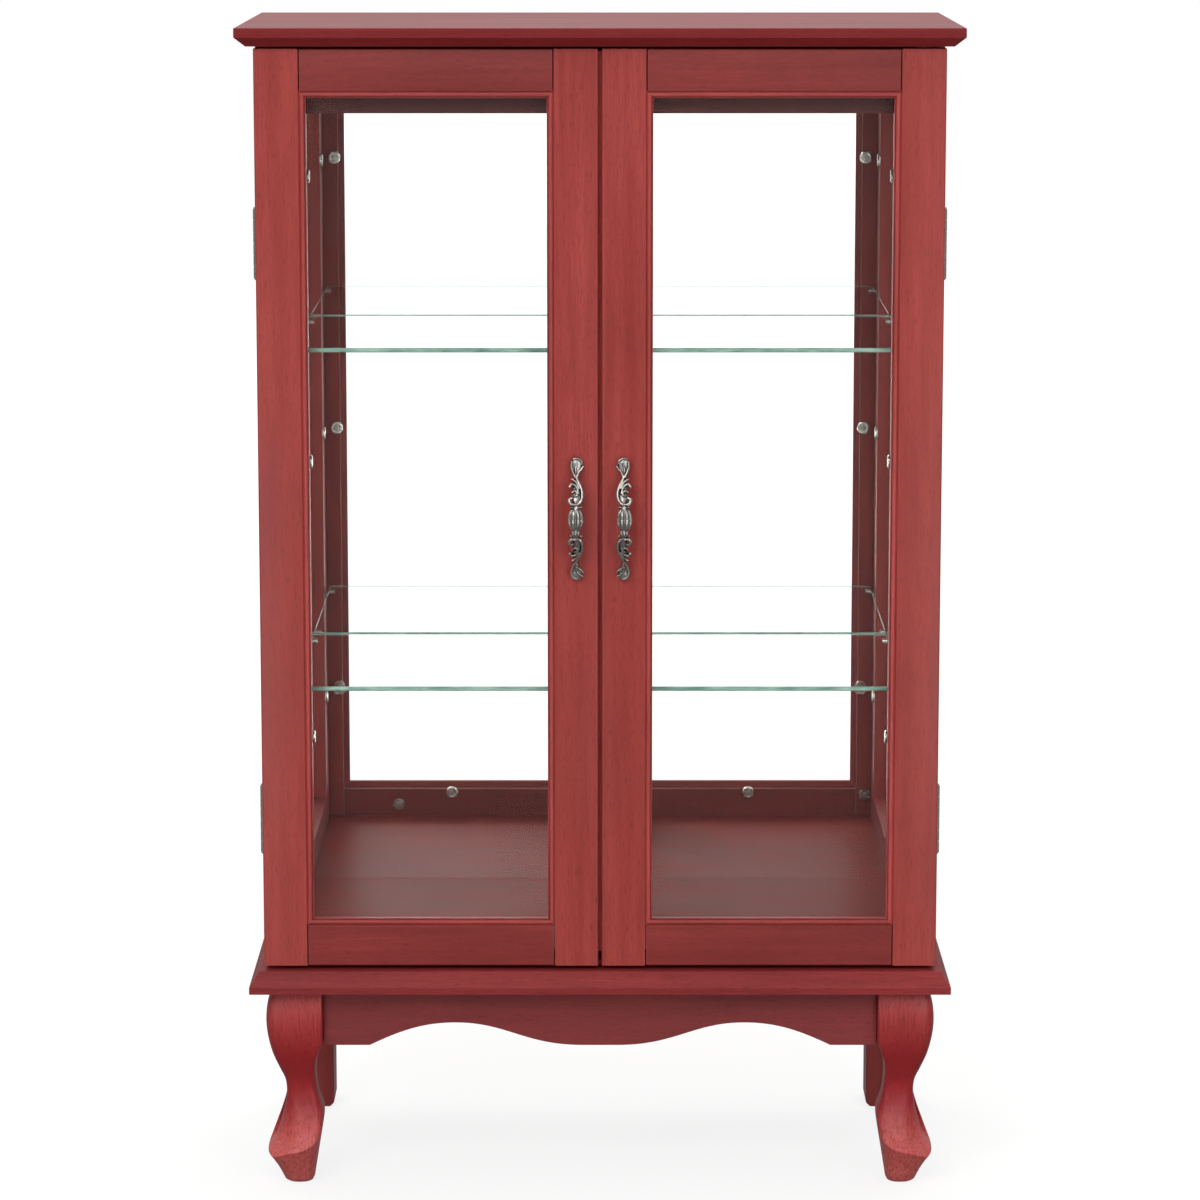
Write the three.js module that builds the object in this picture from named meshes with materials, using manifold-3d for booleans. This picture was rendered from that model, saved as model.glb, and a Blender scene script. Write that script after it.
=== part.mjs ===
// Curio cabinet: a low display cabinet with two framed glass doors, glazed sides, a mirror back,
// two glass shelves and cabriole front legs. Millimetres, +Z up, the front faces -Y.
import * as THREE from "three";
import { mergeVertices } from "three/addons/utils/BufferGeometryUtils.js";
import Module from "manifold-3d";

const wasm = await Module();
wasm.setup();

// Driving sizes
const GAP = 0.3;
const JOINT_GAP = 0.2;
const BODY_HALF_WIDTH = 301.5;
const SIDE_THICKNESS = 24;
const INNER_HALF_WIDTH = BODY_HALF_WIDTH - SIDE_THICKNESS;
const DOOR_FRONT_Y = -136;
const DOOR_THICKNESS = 20;
const CARCASS_FRONT_Y = -114;
const BACK_Y = 160;

const LEG_TOP_Z = 184;
const BASE_TOP_Z = 203.6;
const BASE_BAND = 6.8;
const BASE_HALF_WIDTH = 314.5;
const BASE_BEVEL_RUN = 8.5;
const FLOOR_TOP_Z = 217.4;
const DOOR_BOTTOM_Z = 207.6;
const DOOR_TOP_Z = 1027.4;
const TOP_BOTTOM_Z = 1029.6;
const TOP_TOP_Z = 1046;
const TOP_BAND = 8.2;
const TOP_HALF_WIDTH = 317;
const TOP_BEVEL_RUN = 9.5;
const TOP_FRONT_Y = -151.5;
const BASE_FRONT_Y = -149;

// Framed doors and sides
const DOOR_WIDTH = 300;
const STILE_FLAT = 39;
const RAIL_FLAT = 37;
const BEAD = 6;
const QUIRK = 0.9;
const LIP = 9;
const EDGE_ROUND = 1.6;
const DOOR_GLASS = 4;
const SIDE_STILE_REAR = 48;
const SIDE_RAIL_TOP = 39;
const SIDE_RAIL_BOTTOM = 41;

// Back, shelves and pins
const MIRROR_FRONT_Y = 150;
const MIRROR_THICKNESS = 3;
const BACK_PANEL_THICKNESS = 5;
const BACK_RABBET = 12;
const SHELF_HALF_WIDTH = 273.5;
const SHELF_THICKNESS = 4;
const SHELF_FRONT_Y = -108;
const SHELF_BACK_Y = 147;
const SHELF_TOPS = { upper: 762.6, lower: 457.5 };
const PIN_RADIUS = 2.5;
const PIN_HOLE_RADIUS = 2.8;
const PIN_HOLE_DEPTH = 9;
const PIN_FRONT_Y = -92;
const PIN_REAR_Y = 128;

// Legs and aprons
const KNEE_OUTER = 301.4;
const APRON_THICKNESS = 18;
const APRON_BOTTOM_Z = 130.3;
const APRON_PEAK_Z = 151.3;
const APRON_FRONT_Y = -124;
const LEG_INNER = 250.2;
const REAR_LEG_OUTER = 300;
const REAR_LEG_SIZE = 44;
const REAR_LEG_CHAMFER = 4;

// Hinges
const HINGE_X = 302;
const HINGE_Y = -115;
const HINGE_CENTRES_Z = { upper: 856, lower: 338 };
const HINGE_HEIGHT = 61.8;
const KNUCKLES = 6;
const KNUCKLE_RADIUS = 2.9;
const HINGE_PIN_RADIUS = 1.2;
const HINGE_BORE_RADIUS = 1.4;
const LEAF_WIDTH = 20;
const LEAF_THICKNESS = 1.5;
const LEAF_GAP = 0.4;

// Handles
const HANDLE_X = 20.8;
const HANDLE_Z = 614.5;

// A geometry as a solid that booleans can work on.
function solid(geometry) {
  const bare = geometry.index ? geometry.clone() : mergeVertices(geometry);
  bare.deleteAttribute("normal");
  bare.deleteAttribute("uv");
  const merged = mergeVertices(bare, 1e-4);
  return new wasm.Manifold(
    new wasm.Mesh({
      numProp: 3,
      vertProperties: new Float32Array(merged.attributes.position.array),
      triVerts: new Uint32Array(merged.index.array),
    }),
  );
}

function geometryOf(made) {
  const mesh = made.getMesh();
  const geometry = new THREE.BufferGeometry();
  geometry.setAttribute("position", new THREE.BufferAttribute(new Float32Array(mesh.vertProperties), 3));
  geometry.setIndex(new THREE.BufferAttribute(new Uint32Array(mesh.triVerts), 1));
  const flat = geometry.toNonIndexed();
  flat.computeVertexNormals();
  return flat;
}

// Adds one named mesh to a parent group.
function add(parent, name, made, look, position = [0, 0, 0]) {
  const material = new THREE.MeshStandardMaterial(look);
  if (look.opacity !== undefined) {
    material.transparent = true;
  }
  const mesh = new THREE.Mesh(geometryOf(made), material);
  mesh.name = name;
  mesh.position.set(...position);
  parent.add(mesh);
  return mesh;
}

function group(parent, name, position = [0, 0, 0], turn = 0) {
  const made = new THREE.Group();
  made.name = name;
  made.position.set(...position);
  made.rotation.z = turn;
  parent.add(made);
  return made;
}

function box(x0, x1, y0, y1, z0, z1) {
  const geometry = new THREE.BoxGeometry(x1 - x0, y1 - y0, z1 - z0);
  geometry.translate((x0 + x1) / 2, (y0 + y1) / 2, (z0 + z1) / 2);
  return solid(geometry);
}

function shapeOf(points) {
  return new THREE.Shape(points.map(([a, b]) => new THREE.Vector2(a, b)));
}

function extrusion(outline, length, curveSegments = 4) {
  const shape = Array.isArray(outline) ? shapeOf(outline) : outline;
  return new THREE.ExtrudeGeometry(shape, { depth: length, bevelEnabled: false, curveSegments });
}

// An outline in X and Y, raised along Z.
function raised(outline, z0, z1, curveSegments) {
  return solid(extrusion(outline, z1 - z0, curveSegments).translate(0, 0, z0));
}

// An outline in X and Z, given depth along Y.
function facing(outline, y0, y1, curveSegments) {
  const geometry = extrusion(outline, y1 - y0, curveSegments);
  geometry.applyMatrix4(new THREE.Matrix4().set(1, 0, 0, 0, 0, 0, -1, y1, 0, 1, 0, 0, 0, 0, 0, 1));
  return solid(geometry);
}

// An outline in Y and Z, given width along X.
function sideways(outline, x0, x1, curveSegments) {
  const geometry = extrusion(outline, x1 - x0, curveSegments);
  geometry.applyMatrix4(new THREE.Matrix4().set(0, 0, 1, x0, 1, 0, 0, 0, 0, 1, 0, 0, 0, 0, 0, 1));
  return solid(geometry);
}

// A profile of [radius, height] turned about Z.
function turned(profile, segments) {
  const points = profile.map(([r, h]) => new THREE.Vector2(r, h));
  const geometry = new THREE.LatheGeometry(points, segments);
  geometry.rotateX(Math.PI / 2);
  const made = solid(geometry);
  return made.volume() < 0 ? solid(flipped(geometry)) : made;
}

function flipped(geometry) {
  const index = geometry.index.array;
  for (let i = 0; i < index.length; i += 3) {
    [index[i + 1], index[i + 2]] = [index[i + 2], index[i + 1]];
  }
  return geometry;
}

function rod(radius, z0, z1, segments = 16) {
  return turned([[0, z0], [radius, z0], [radius, z1], [0, z1]], segments);
}

function quarterTurn(cx, cy, radius, from, steps) {
  return Array.from({ length: steps + 1 }, (_, i) => {
    const angle = from + (i / steps) * (Math.PI / 2);
    return [cx + radius * Math.cos(angle), cy + radius * Math.sin(angle)];
  });
}

// Looks
const STILE_LOOK = { color: 0x9a4038, roughness: 0.42, metalness: 0 };
const RAIL_LOOK = { color: 0x8a3935, roughness: 0.42, metalness: 0 };
const TOP_LOOK = { color: 0x8b3030, roughness: 0.35, metalness: 0 };
const APRON_LOOK = { color: 0x6e2c2e, roughness: 0.5, metalness: 0 };
const LEG_LOOK = { color: 0x8c3033, roughness: 0.38, metalness: 0 };
const INSIDE_LOOK = { color: 0x6b3430, roughness: 0.5, metalness: 0 };
const BOARD_LOOK = { color: 0x9b7550, roughness: 0.85, metalness: 0 };
const GLASS_LOOK = { color: 0xeef6f3, roughness: 0.04, metalness: 0, opacity: 0.35 };
const SHELF_LOOK = { color: 0xcfe6dc, roughness: 0.04, metalness: 0, opacity: 0.35 };
const MIRROR_LOOK = { color: 0xe8ecec, roughness: 0.03, metalness: 1 };
const NICKEL_LOOK = { color: 0xa9a7a2, roughness: 0.3, metalness: 1 };
const SILVER_LOOK = { color: 0x8e8a84, roughness: 0.35, metalness: 1 };

// The section of a framed piece: across from its outer edge to the bead, and back from the front face.
function frameSection(flat, thickness) {
  const innerEdge = flat + BEAD;
  const bead = BEAD - QUIRK;
  return [
    [0, EDGE_ROUND],
    [EDGE_ROUND * 0.3, EDGE_ROUND * 0.3],
    [EDGE_ROUND, 0],
    [flat, 0],
    [flat, QUIRK],
    ...quarterTurn(flat + QUIRK, QUIRK + bead, bead, -Math.PI / 2, 4),
    [innerEdge, LIP],
    [flat, LIP],
    [flat, thickness],
    [0, thickness],
  ];
}

// A frame of two stiles and two rails with mitred beads round a pane, its front at y = 0, from x = 0.
function frame({ width, z0, z1, startFlat, endFlat, bottomFlat, topFlat, thickness, glass }) {
  const lowZ = z0 + bottomFlat;
  const highZ = z1 - topFlat;
  const stile = (flat, place) => {
    const outline = [
      [0, z0],
      [flat, z0],
      [flat, lowZ + JOINT_GAP],
      [flat + BEAD, lowZ + BEAD + JOINT_GAP],
      [flat + BEAD, highZ - BEAD - JOINT_GAP],
      [flat, highZ - JOINT_GAP],
      [flat, z1],
      [0, z1],
    ].map(([a, z]) => [place(a), z]);
    const section = frameSection(flat, thickness).map(([a, y]) => [place(a), y]);
    return facing(outline, -1, thickness + 1).intersect(raised(section, z0 - 1, z1 + 1));
  };
  const rail = (flat, place) => {
    const from = startFlat + JOINT_GAP;
    const to = width - endFlat - JOINT_GAP;
    const outline = [
      [from, 0],
      [to, 0],
      [to, flat],
      [to - BEAD, flat + BEAD],
      [from + BEAD, flat + BEAD],
      [from, flat],
    ].map(([a, h]) => [a, place(h)]);
    const section = frameSection(flat, thickness).map(([h, y]) => [y, place(h)]);
    return facing(outline, -1, thickness + 1).intersect(sideways(section, from - 1, to + 1));
  };
  const pane = box(
    startFlat + GAP,
    width - endFlat - GAP,
    LIP + GAP,
    LIP + GAP + glass,
    lowZ + GAP,
    highZ - GAP,
  );
  return {
    start: stile(startFlat, (a) => a),
    end: stile(endFlat, (a) => width - a),
    bottom: rail(bottomFlat, (h) => z0 + h),
    top: rail(topFlat, (h) => z1 - h),
    pane,
  };
}

// Butt hinge with its pin on x = 0, y = 0; side is +1 when the leaves lie toward -X.
function knuckleBands(odd) {
  const pitch = HINGE_HEIGHT / KNUCKLES;
  const bands = [];
  for (let i = odd ? 1 : 0; i < KNUCKLES; i += 2) {
    const low = -HINGE_HEIGHT / 2 + i * pitch;
    bands.push([low + GAP / 2, low + pitch - GAP / 2]);
  }
  return bands;
}

function hingeLeaf(side, back, odd) {
  const near = LEAF_GAP / 2;
  const y0 = back ? near : -near - LEAF_THICKNESS;
  const inner = -side * 1.7;
  const outer = -side * (LEAF_WIDTH + 1.7);
  const half = HINGE_HEIGHT / 2 - GAP / 2;
  let leaf = box(Math.min(inner, outer), Math.max(inner, outer), y0, y0 + LEAF_THICKNESS, -half, half);
  for (const [low, high] of knuckleBands(!odd)) {
    leaf = leaf.subtract(rod(KNUCKLE_RADIUS + GAP, low - GAP, high + GAP));
  }
  for (const [low, high] of knuckleBands(odd)) {
    leaf = leaf.add(rod(KNUCKLE_RADIUS, low, high));
  }
  leaf = leaf.subtract(rod(HINGE_BORE_RADIUS, -half - 1, half + 1, 12));
  for (const z of [-20, 0, 20]) {
    const hole = solid(
      extrusion(new THREE.Shape().absarc(0, 0, 2, 0, 2 * Math.PI), 6, 3)
        .rotateX(Math.PI / 2)
        .translate(-side * (z === 0 ? 15 : 9), 3, z),
    );
    leaf = leaf.subtract(hole);
  }
  return leaf;
}

function hingePin() {
  const half = HINGE_HEIGHT / 2;
  const head = 2.3;
  const headTop = 1.6;
  return turned(
    [
      [0, -half - headTop],
      [head * 0.7, -half - headTop],
      [head, -half - headTop * 0.5],
      [head, -half - GAP / 2],
      [HINGE_PIN_RADIUS, -half - GAP / 2],
      [HINGE_PIN_RADIUS, half + GAP / 2],
      [head, half + GAP / 2],
      [head, half + headTop * 0.5],
      [head * 0.7, half + headTop],
      [0, half + headTop],
    ],
    12,
  );
}

// The pocket that a hinge leaf and its barrel need in the wood, on the hinge's own axis.
function hingePocket(side, back) {
  const near = LEAF_GAP / 2;
  const inner = side * 0.5;
  const outer = -side * (LEAF_WIDTH + 1.7 + GAP);
  const deep = near + LEAF_THICKNESS + GAP;
  const half = HINGE_HEIGHT / 2 + 2.2;
  const leafHalf = HINGE_HEIGHT / 2 + GAP;
  const pocket = box(
    Math.min(inner, outer),
    Math.max(inner, outer),
    back ? -1 : -deep,
    back ? deep : 1,
    -leafHalf,
    leafHalf,
  );
  return pocket.add(rod(KNUCKLE_RADIUS + 0.5, -half, half));
}

// Half of a cabriole leg's outline: how far in from the block's outer face, at each height.
const LEG_OUTER = [
  [5.1, 183.7], [1.4, 170.7], [0, 155.7], [1.3, 139.7], [5.2, 123.2], [10.8, 108.7], [15.4, 97],
  [16.8, 87.4], [15.7, 78.5], [11, 66.5], [4.6, 53], [0.4, 41], [0, 34.5],
];
const LEG_PAD_OUTER = [[3.9, 27.6], [9, 16.6], [13.4, 4.4], [15.8, 0]];
const LEG_INNER_EDGE = [
  [41, 0], [44.4, 21], [47.5, 40], [50.2, 56.5], [50.8, 67], [47.5, 75], [45.6, 85.6], [44, 96.2],
  [43.7, 106], [44.8, 115.8], [47.5, 124.6], [51, 133.5],
];

function legOutline(place) {
  const at = ([a, z]) => new THREE.Vector2(place(a), z);
  const shape = new THREE.Shape();
  shape.moveTo(...at([KNEE_OUTER - LEG_INNER, 183.7]).toArray());
  shape.lineTo(...at(LEG_OUTER[0]).toArray());
  shape.splineThru(LEG_OUTER.slice(1).map(at));
  shape.splineThru(LEG_PAD_OUTER.map(at));
  shape.lineTo(...at(LEG_INNER_EDGE[0]).toArray());
  shape.splineThru(LEG_INNER_EDGE.slice(1).map(at));
  return shape;
}

function frontLeg(side) {
  const deep = KNEE_OUTER - LEG_INNER + 2;
  const front = facing(legOutline((a) => side * (KNEE_OUTER - a)), DOOR_FRONT_Y - 1, DOOR_FRONT_Y + deep, 1);
  const flank = sideways(
    legOutline((a) => DOOR_FRONT_Y + a),
    side > 0 ? KNEE_OUTER - deep : -KNEE_OUTER - 1,
    side > 0 ? KNEE_OUTER + 1 : deep - KNEE_OUTER,
    1,
  );
  return front.intersect(flank);
}

function rearLeg(side) {
  const outer = side * REAR_LEG_OUTER;
  const inner = side * (REAR_LEG_OUTER - REAR_LEG_SIZE);
  return facing(
    [
      [outer, LEG_TOP_Z - GAP],
      [inner, LEG_TOP_Z - GAP],
      [inner, REAR_LEG_CHAMFER],
      [inner + side * REAR_LEG_CHAMFER, 0],
      [outer, 0],
    ],
    BACK_Y - 2 - REAR_LEG_SIZE,
    BACK_Y - 2,
  );
}

// An apron with two arches in its lower edge, symmetric about 0, as an outline of [along, z].
function scallopedApron(half, flatEnd, peak, middleFlat) {
  const shape = new THREE.Shape();
  const top = LEG_TOP_Z - GAP;
  const low = APRON_BOTTOM_Z;
  const high = APRON_PEAK_Z;
  const rise = flatEnd - peak;
  const fall = peak - middleFlat;
  const arch = (sign) => {
    const from = { x: sign * flatEnd, cx: sign * (flatEnd - 0.38 * rise), cz: low + 0.69 * (high - low) };
    const to = { x: sign * middleFlat, cx: sign * (middleFlat + 0.46 * fall) };
    return { from, to, peakIn: sign * (peak - 0.4 * fall), peakOut: sign * (peak + 0.36 * rise) };
  };
  const left = arch(-1);
  const right = arch(1);
  shape.moveTo(-half, top);
  shape.lineTo(-half, low);
  shape.lineTo(left.from.x, low);
  shape.bezierCurveTo(left.from.cx, left.from.cz, left.peakOut, high, -peak, high);
  shape.bezierCurveTo(left.peakIn, high, left.to.cx, low, left.to.x, low);
  shape.lineTo(right.to.x, low);
  shape.bezierCurveTo(right.to.cx, low, right.peakIn, high, peak, high);
  shape.bezierCurveTo(right.peakOut, high, right.from.cx, right.from.cz, right.from.x, low);
  shape.lineTo(half, low);
  shape.lineTo(half, top);
  return shape;
}

// An apron with one arch in its lower edge.
function archedApron(half, flatEnd) {
  const shape = new THREE.Shape();
  const top = LEG_TOP_Z - GAP;
  const low = APRON_BOTTOM_Z;
  const high = APRON_PEAK_Z;
  shape.moveTo(-half, top);
  shape.lineTo(-half, low);
  shape.lineTo(-flatEnd, low);
  shape.bezierCurveTo(-0.62 * flatEnd, low + 0.69 * (high - low), -0.36 * flatEnd, high, 0, high);
  shape.bezierCurveTo(0.36 * flatEnd, high, 0.62 * flatEnd, low + 0.69 * (high - low), flatEnd, low);
  shape.lineTo(half, low);
  shape.lineTo(half, top);
  return shape;
}

function ball(radius, at, stretch = [1, 1, 1], segments = 8) {
  const geometry = new THREE.SphereGeometry(radius, segments, segments - 2);
  geometry.scale(...stretch);
  geometry.translate(...at);
  return solid(geometry);
}

function collar(radius, height, at, segments = 10) {
  return rod(radius, at[2] - height / 2, at[2] + height / 2, segments).translate([at[0], at[1], 0]);
}

// An ornate pull, its back at y = 0: a stem that stands off the door, with lobes, leaves and beads.
function handle(side) {
  const gripY = -17.3;
  const curve = new THREE.CatmullRomCurve3([
    new THREE.Vector3(side * 0.6, -6, -47),
    new THREE.Vector3(side * 1.6, -10.5, -36),
    new THREE.Vector3(side * 1.2, -15.2, -23),
    new THREE.Vector3(0, gripY, -12),
    new THREE.Vector3(0, gripY, 12),
    new THREE.Vector3(side * 1.2, -15.2, 23),
    new THREE.Vector3(side * 1.6, -10.5, 36),
    new THREE.Vector3(side * 0.6, -6, 47),
  ]);
  const round = new THREE.Shape().absarc(0, 0, 2.7, 0, 2 * Math.PI);
  const stem = new THREE.ExtrudeGeometry(round, { steps: 14, extrudePath: curve, curveSegments: 2 });
  const bare = solid(stem);
  let made = bare.volume() < 0 ? solid(flipped(mergeVertices(stem))) : bare;
  const pieces = [];
  for (const end of [-1, 1]) {
    pieces.push(
      ball(7.3, [side * 0.4, -5, end * 47.6], [0.92, 0.62, 1]),
      ball(5.4, [-side * 2.6, -7.2, end * 38], [0.8, 0.62, 1]),
      ball(5, [side * 2.4, -11, end * 31], [1, 0.62, 1.1]),
      ball(4.4, [-side * 2.2, -13.6, end * 23.5], [0.9, 0.7, 1]),
      collar(4.4, 2.2, [0, gripY + 0.5, end * 16.6]),
      ball(3.9, [0, gripY, end * 13.4], [1, 1, 0.7]),
    );
    const post = rod(3.4, 0, 6, 8).rotate([90, 0, 0]).translate([0, 0, end * 47]);
    pieces.push(post);
  }
  pieces.push(ball(6.4, [0, gripY, 1.4], [1, 1, 1.6], 10));
  for (const piece of pieces) {
    made = made.add(piece);
  }
  return made;
}

const cabinet = new THREE.Group();
cabinet.name = "curio_cabinet";

// Carcass boards
const carcass = group(cabinet, "carcass");
add(
  carcass,
  "top_board",
  facing(
    [
      [-TOP_HALF_WIDTH + TOP_BEVEL_RUN, TOP_BOTTOM_Z],
      [TOP_HALF_WIDTH - TOP_BEVEL_RUN, TOP_BOTTOM_Z],
      [TOP_HALF_WIDTH, TOP_TOP_Z - TOP_BAND],
      [TOP_HALF_WIDTH, TOP_TOP_Z],
      [-TOP_HALF_WIDTH, TOP_TOP_Z],
      [-TOP_HALF_WIDTH, TOP_TOP_Z - TOP_BAND],
    ],
    TOP_FRONT_Y - 1,
    BACK_Y,
  ).intersect(
    sideways(
      [
        [TOP_FRONT_Y + TOP_BEVEL_RUN, TOP_BOTTOM_Z],
        [BACK_Y, TOP_BOTTOM_Z],
        [BACK_Y, TOP_TOP_Z],
        [TOP_FRONT_Y, TOP_TOP_Z],
        [TOP_FRONT_Y, TOP_TOP_Z - TOP_BAND],
      ],
      -TOP_HALF_WIDTH - 1,
      TOP_HALF_WIDTH + 1,
    ),
  ),
  TOP_LOOK,
);
add(
  carcass,
  "base_board",
  facing(
    [
      [-BASE_HALF_WIDTH, LEG_TOP_Z],
      [BASE_HALF_WIDTH, LEG_TOP_Z],
      [BASE_HALF_WIDTH, LEG_TOP_Z + BASE_BAND],
      [BASE_HALF_WIDTH - BASE_BEVEL_RUN, BASE_TOP_Z],
      [-BASE_HALF_WIDTH + BASE_BEVEL_RUN, BASE_TOP_Z],
      [-BASE_HALF_WIDTH, LEG_TOP_Z + BASE_BAND],
    ],
    BASE_FRONT_Y - 1,
    BACK_Y,
  ).intersect(
    sideways(
      [
        [BASE_FRONT_Y, LEG_TOP_Z],
        [BACK_Y, LEG_TOP_Z],
        [BACK_Y, BASE_TOP_Z],
        [BASE_FRONT_Y + BASE_BEVEL_RUN, BASE_TOP_Z],
        [BASE_FRONT_Y, LEG_TOP_Z + BASE_BAND],
      ],
      -BASE_HALF_WIDTH - 1,
      BASE_HALF_WIDTH + 1,
    ),
  ),
  TOP_LOOK,
);
add(
  carcass,
  "floor_panel",
  box(
    -INNER_HALF_WIDTH + GAP,
    INNER_HALF_WIDTH - GAP,
    CARCASS_FRONT_Y,
    MIRROR_FRONT_Y - GAP,
    BASE_TOP_Z + GAP,
    FLOOR_TOP_Z,
  ),
  INSIDE_LOOK,
);
add(
  carcass,
  "front_top_rail",
  box(
    -INNER_HALF_WIDTH + GAP,
    INNER_HALF_WIDTH - GAP,
    CARCASS_FRONT_Y,
    CARCASS_FRONT_Y + 18,
    970,
    TOP_BOTTOM_Z - GAP,
  ),
  INSIDE_LOOK,
);

// Glazed sides: each frame is built face-on and turned outward
const sideWidth = BACK_Y - CARCASS_FRONT_Y;
for (const side of [-1, 1]) {
  const word = side < 0 ? "left" : "right";
  const turn = (side * Math.PI) / 2;
  const origin = [side * BODY_HALF_WIDTH, side < 0 ? BACK_Y : CARCASS_FRONT_Y, 0];
  const holder = group(carcass, word + "_side", origin, turn);
  const rearFirst = side < 0;
  const parts = frame({
    width: sideWidth,
    z0: BASE_TOP_Z + GAP,
    z1: TOP_BOTTOM_Z - GAP,
    startFlat: rearFirst ? SIDE_STILE_REAR : STILE_FLAT,
    endFlat: rearFirst ? STILE_FLAT : SIDE_STILE_REAR,
    bottomFlat: SIDE_RAIL_BOTTOM,
    topFlat: SIDE_RAIL_TOP,
    thickness: SIDE_THICKNESS,
    glass: DOOR_GLASS,
  });
  const toLocal = (y) => (rearFirst ? BACK_Y - y : y - CARCASS_FRONT_Y);
  const drill = (y, z) =>
    rod(PIN_HOLE_RADIUS, 0, PIN_HOLE_DEPTH + 1, 10)
      .rotate([90, 0, 0])
      .translate([toLocal(y), SIDE_THICKNESS + 1, z]);
  const span = [toLocal(BACK_Y), toLocal(MIRROR_FRONT_Y - GAP)];
  const backRabbet = box(
    Math.min(...span) - 1,
    Math.max(...span) + (rearFirst ? 0 : 1),
    SIDE_THICKNESS - BACK_RABBET,
    SIDE_THICKNESS + 1,
    BASE_TOP_Z - 1,
    TOP_BOTTOM_Z + 1,
  );
  let frontStile = rearFirst ? parts.end : parts.start;
  let rearStile = (rearFirst ? parts.start : parts.end).subtract(backRabbet);
  for (const shelfTop of Object.values(SHELF_TOPS)) {
    const pinZ = shelfTop - SHELF_THICKNESS - GAP - PIN_RADIUS;
    frontStile = frontStile.subtract(drill(PIN_FRONT_Y, pinZ));
    rearStile = rearStile.subtract(drill(PIN_REAR_Y, pinZ));
  }
  for (const z of Object.values(HINGE_CENTRES_Z)) {
    const pocket = hingePocket(side, true)
      .translate([side * HINGE_X - origin[0], HINGE_Y - origin[1], z])
      .rotate([0, 0, -side * 90]);
    frontStile = frontStile.subtract(pocket);
  }
  add(holder, word + "_side_front_stile", frontStile, STILE_LOOK);
  add(holder, word + "_side_rear_stile", rearStile, STILE_LOOK);
  add(holder, word + "_side_top_rail", parts.top, RAIL_LOOK);
  add(holder, word + "_side_bottom_rail", parts.bottom, RAIL_LOOK);
  add(holder, word + "_side_glass", parts.pane, GLASS_LOOK);
}

// Mirror and the board behind it, in the rear stiles' rabbets
const backHalf = INNER_HALF_WIDTH + BACK_RABBET - GAP;
add(
  carcass,
  "mirror_panel",
  box(
    -backHalf,
    backHalf,
    MIRROR_FRONT_Y,
    MIRROR_FRONT_Y + MIRROR_THICKNESS,
    BASE_TOP_Z + GAP,
    TOP_BOTTOM_Z - GAP,
  ),
  MIRROR_LOOK,
);
add(
  carcass,
  "back_panel",
  box(
    -backHalf,
    backHalf,
    MIRROR_FRONT_Y + MIRROR_THICKNESS + GAP,
    MIRROR_FRONT_Y + MIRROR_THICKNESS + GAP + BACK_PANEL_THICKNESS,
    BASE_TOP_Z + GAP,
    TOP_BOTTOM_Z - GAP,
  ),
  BOARD_LOOK,
);

// Glass shelves on four pins each
const pinProfile = [
  [0, 0],
  [PIN_RADIUS, 0],
  [PIN_RADIUS, PIN_HOLE_DEPTH - 0.5 + GAP],
  [PIN_RADIUS + 1.4, PIN_HOLE_DEPTH - 0.5 + GAP],
  [PIN_RADIUS + 1.4, PIN_HOLE_DEPTH + 1],
  [PIN_RADIUS, PIN_HOLE_DEPTH + 1],
  [PIN_RADIUS, PIN_HOLE_DEPTH + 9],
  [0, PIN_HOLE_DEPTH + 9],
];
for (const [level, shelfTop] of Object.entries(SHELF_TOPS)) {
  const holder = group(carcass, level + "_shelf_set", [0, 0, shelfTop]);
  add(
    holder,
    level + "_shelf",
    box(-SHELF_HALF_WIDTH, SHELF_HALF_WIDTH, SHELF_FRONT_Y, SHELF_BACK_Y, -SHELF_THICKNESS, 0),
    SHELF_LOOK,
  );
  for (const side of [-1, 1]) {
    for (const [place, y] of [["front", PIN_FRONT_Y], ["rear", PIN_REAR_Y]]) {
      const pin = turned(pinProfile, 10).rotate([0, -side * 90, 0]);
      const x = side * (INNER_HALF_WIDTH + PIN_HOLE_DEPTH - 0.5);
      const z = -SHELF_THICKNESS - GAP - PIN_RADIUS;
      const word = side < 0 ? "left" : "right";
      add(holder, [level, "shelf_pin", word, place].join("_"), pin, NICKEL_LOOK, [x, y, z]);
    }
  }
}

// Legs and aprons
for (const side of [-1, 1]) {
  const word = side < 0 ? "left" : "right";
  add(carcass, word + "_front_leg", frontLeg(side), LEG_LOOK);
  add(carcass, word + "_rear_leg", rearLeg(side), LEG_LOOK);
  const flankFront = DOOR_FRONT_Y + KNEE_OUTER - LEG_INNER + GAP;
  const flankBack = BACK_Y - 2 - REAR_LEG_SIZE - GAP;
  const flankHalf = (flankBack - flankFront) / 2;
  const flankOuter = side * (REAR_LEG_OUTER - 8);
  const flankInner = flankOuter - side * APRON_THICKNESS;
  const flank = sideways(
    archedApron(flankHalf, flankHalf - 22),
    Math.min(flankOuter, flankInner),
    Math.max(flankOuter, flankInner),
    6,
  );
  add(carcass, word + "_apron", flank, APRON_LOOK, [0, (flankFront + flankBack) / 2, 0]);
}
const frontHalf = LEG_INNER - GAP;
add(
  carcass,
  "front_apron",
  facing(scallopedApron(frontHalf, 208, 130, 16), APRON_FRONT_Y, APRON_FRONT_Y + APRON_THICKNESS, 7),
  APRON_LOOK,
);
const rearHalf = REAR_LEG_OUTER - REAR_LEG_SIZE - GAP;
const rearApronBack = BACK_Y - 10;
add(
  carcass,
  "rear_apron",
  box(
    -rearHalf,
    rearHalf,
    rearApronBack - APRON_THICKNESS,
    rearApronBack,
    APRON_BOTTOM_Z,
    LEG_TOP_Z - GAP,
  ),
  APRON_LOOK,
);

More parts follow.
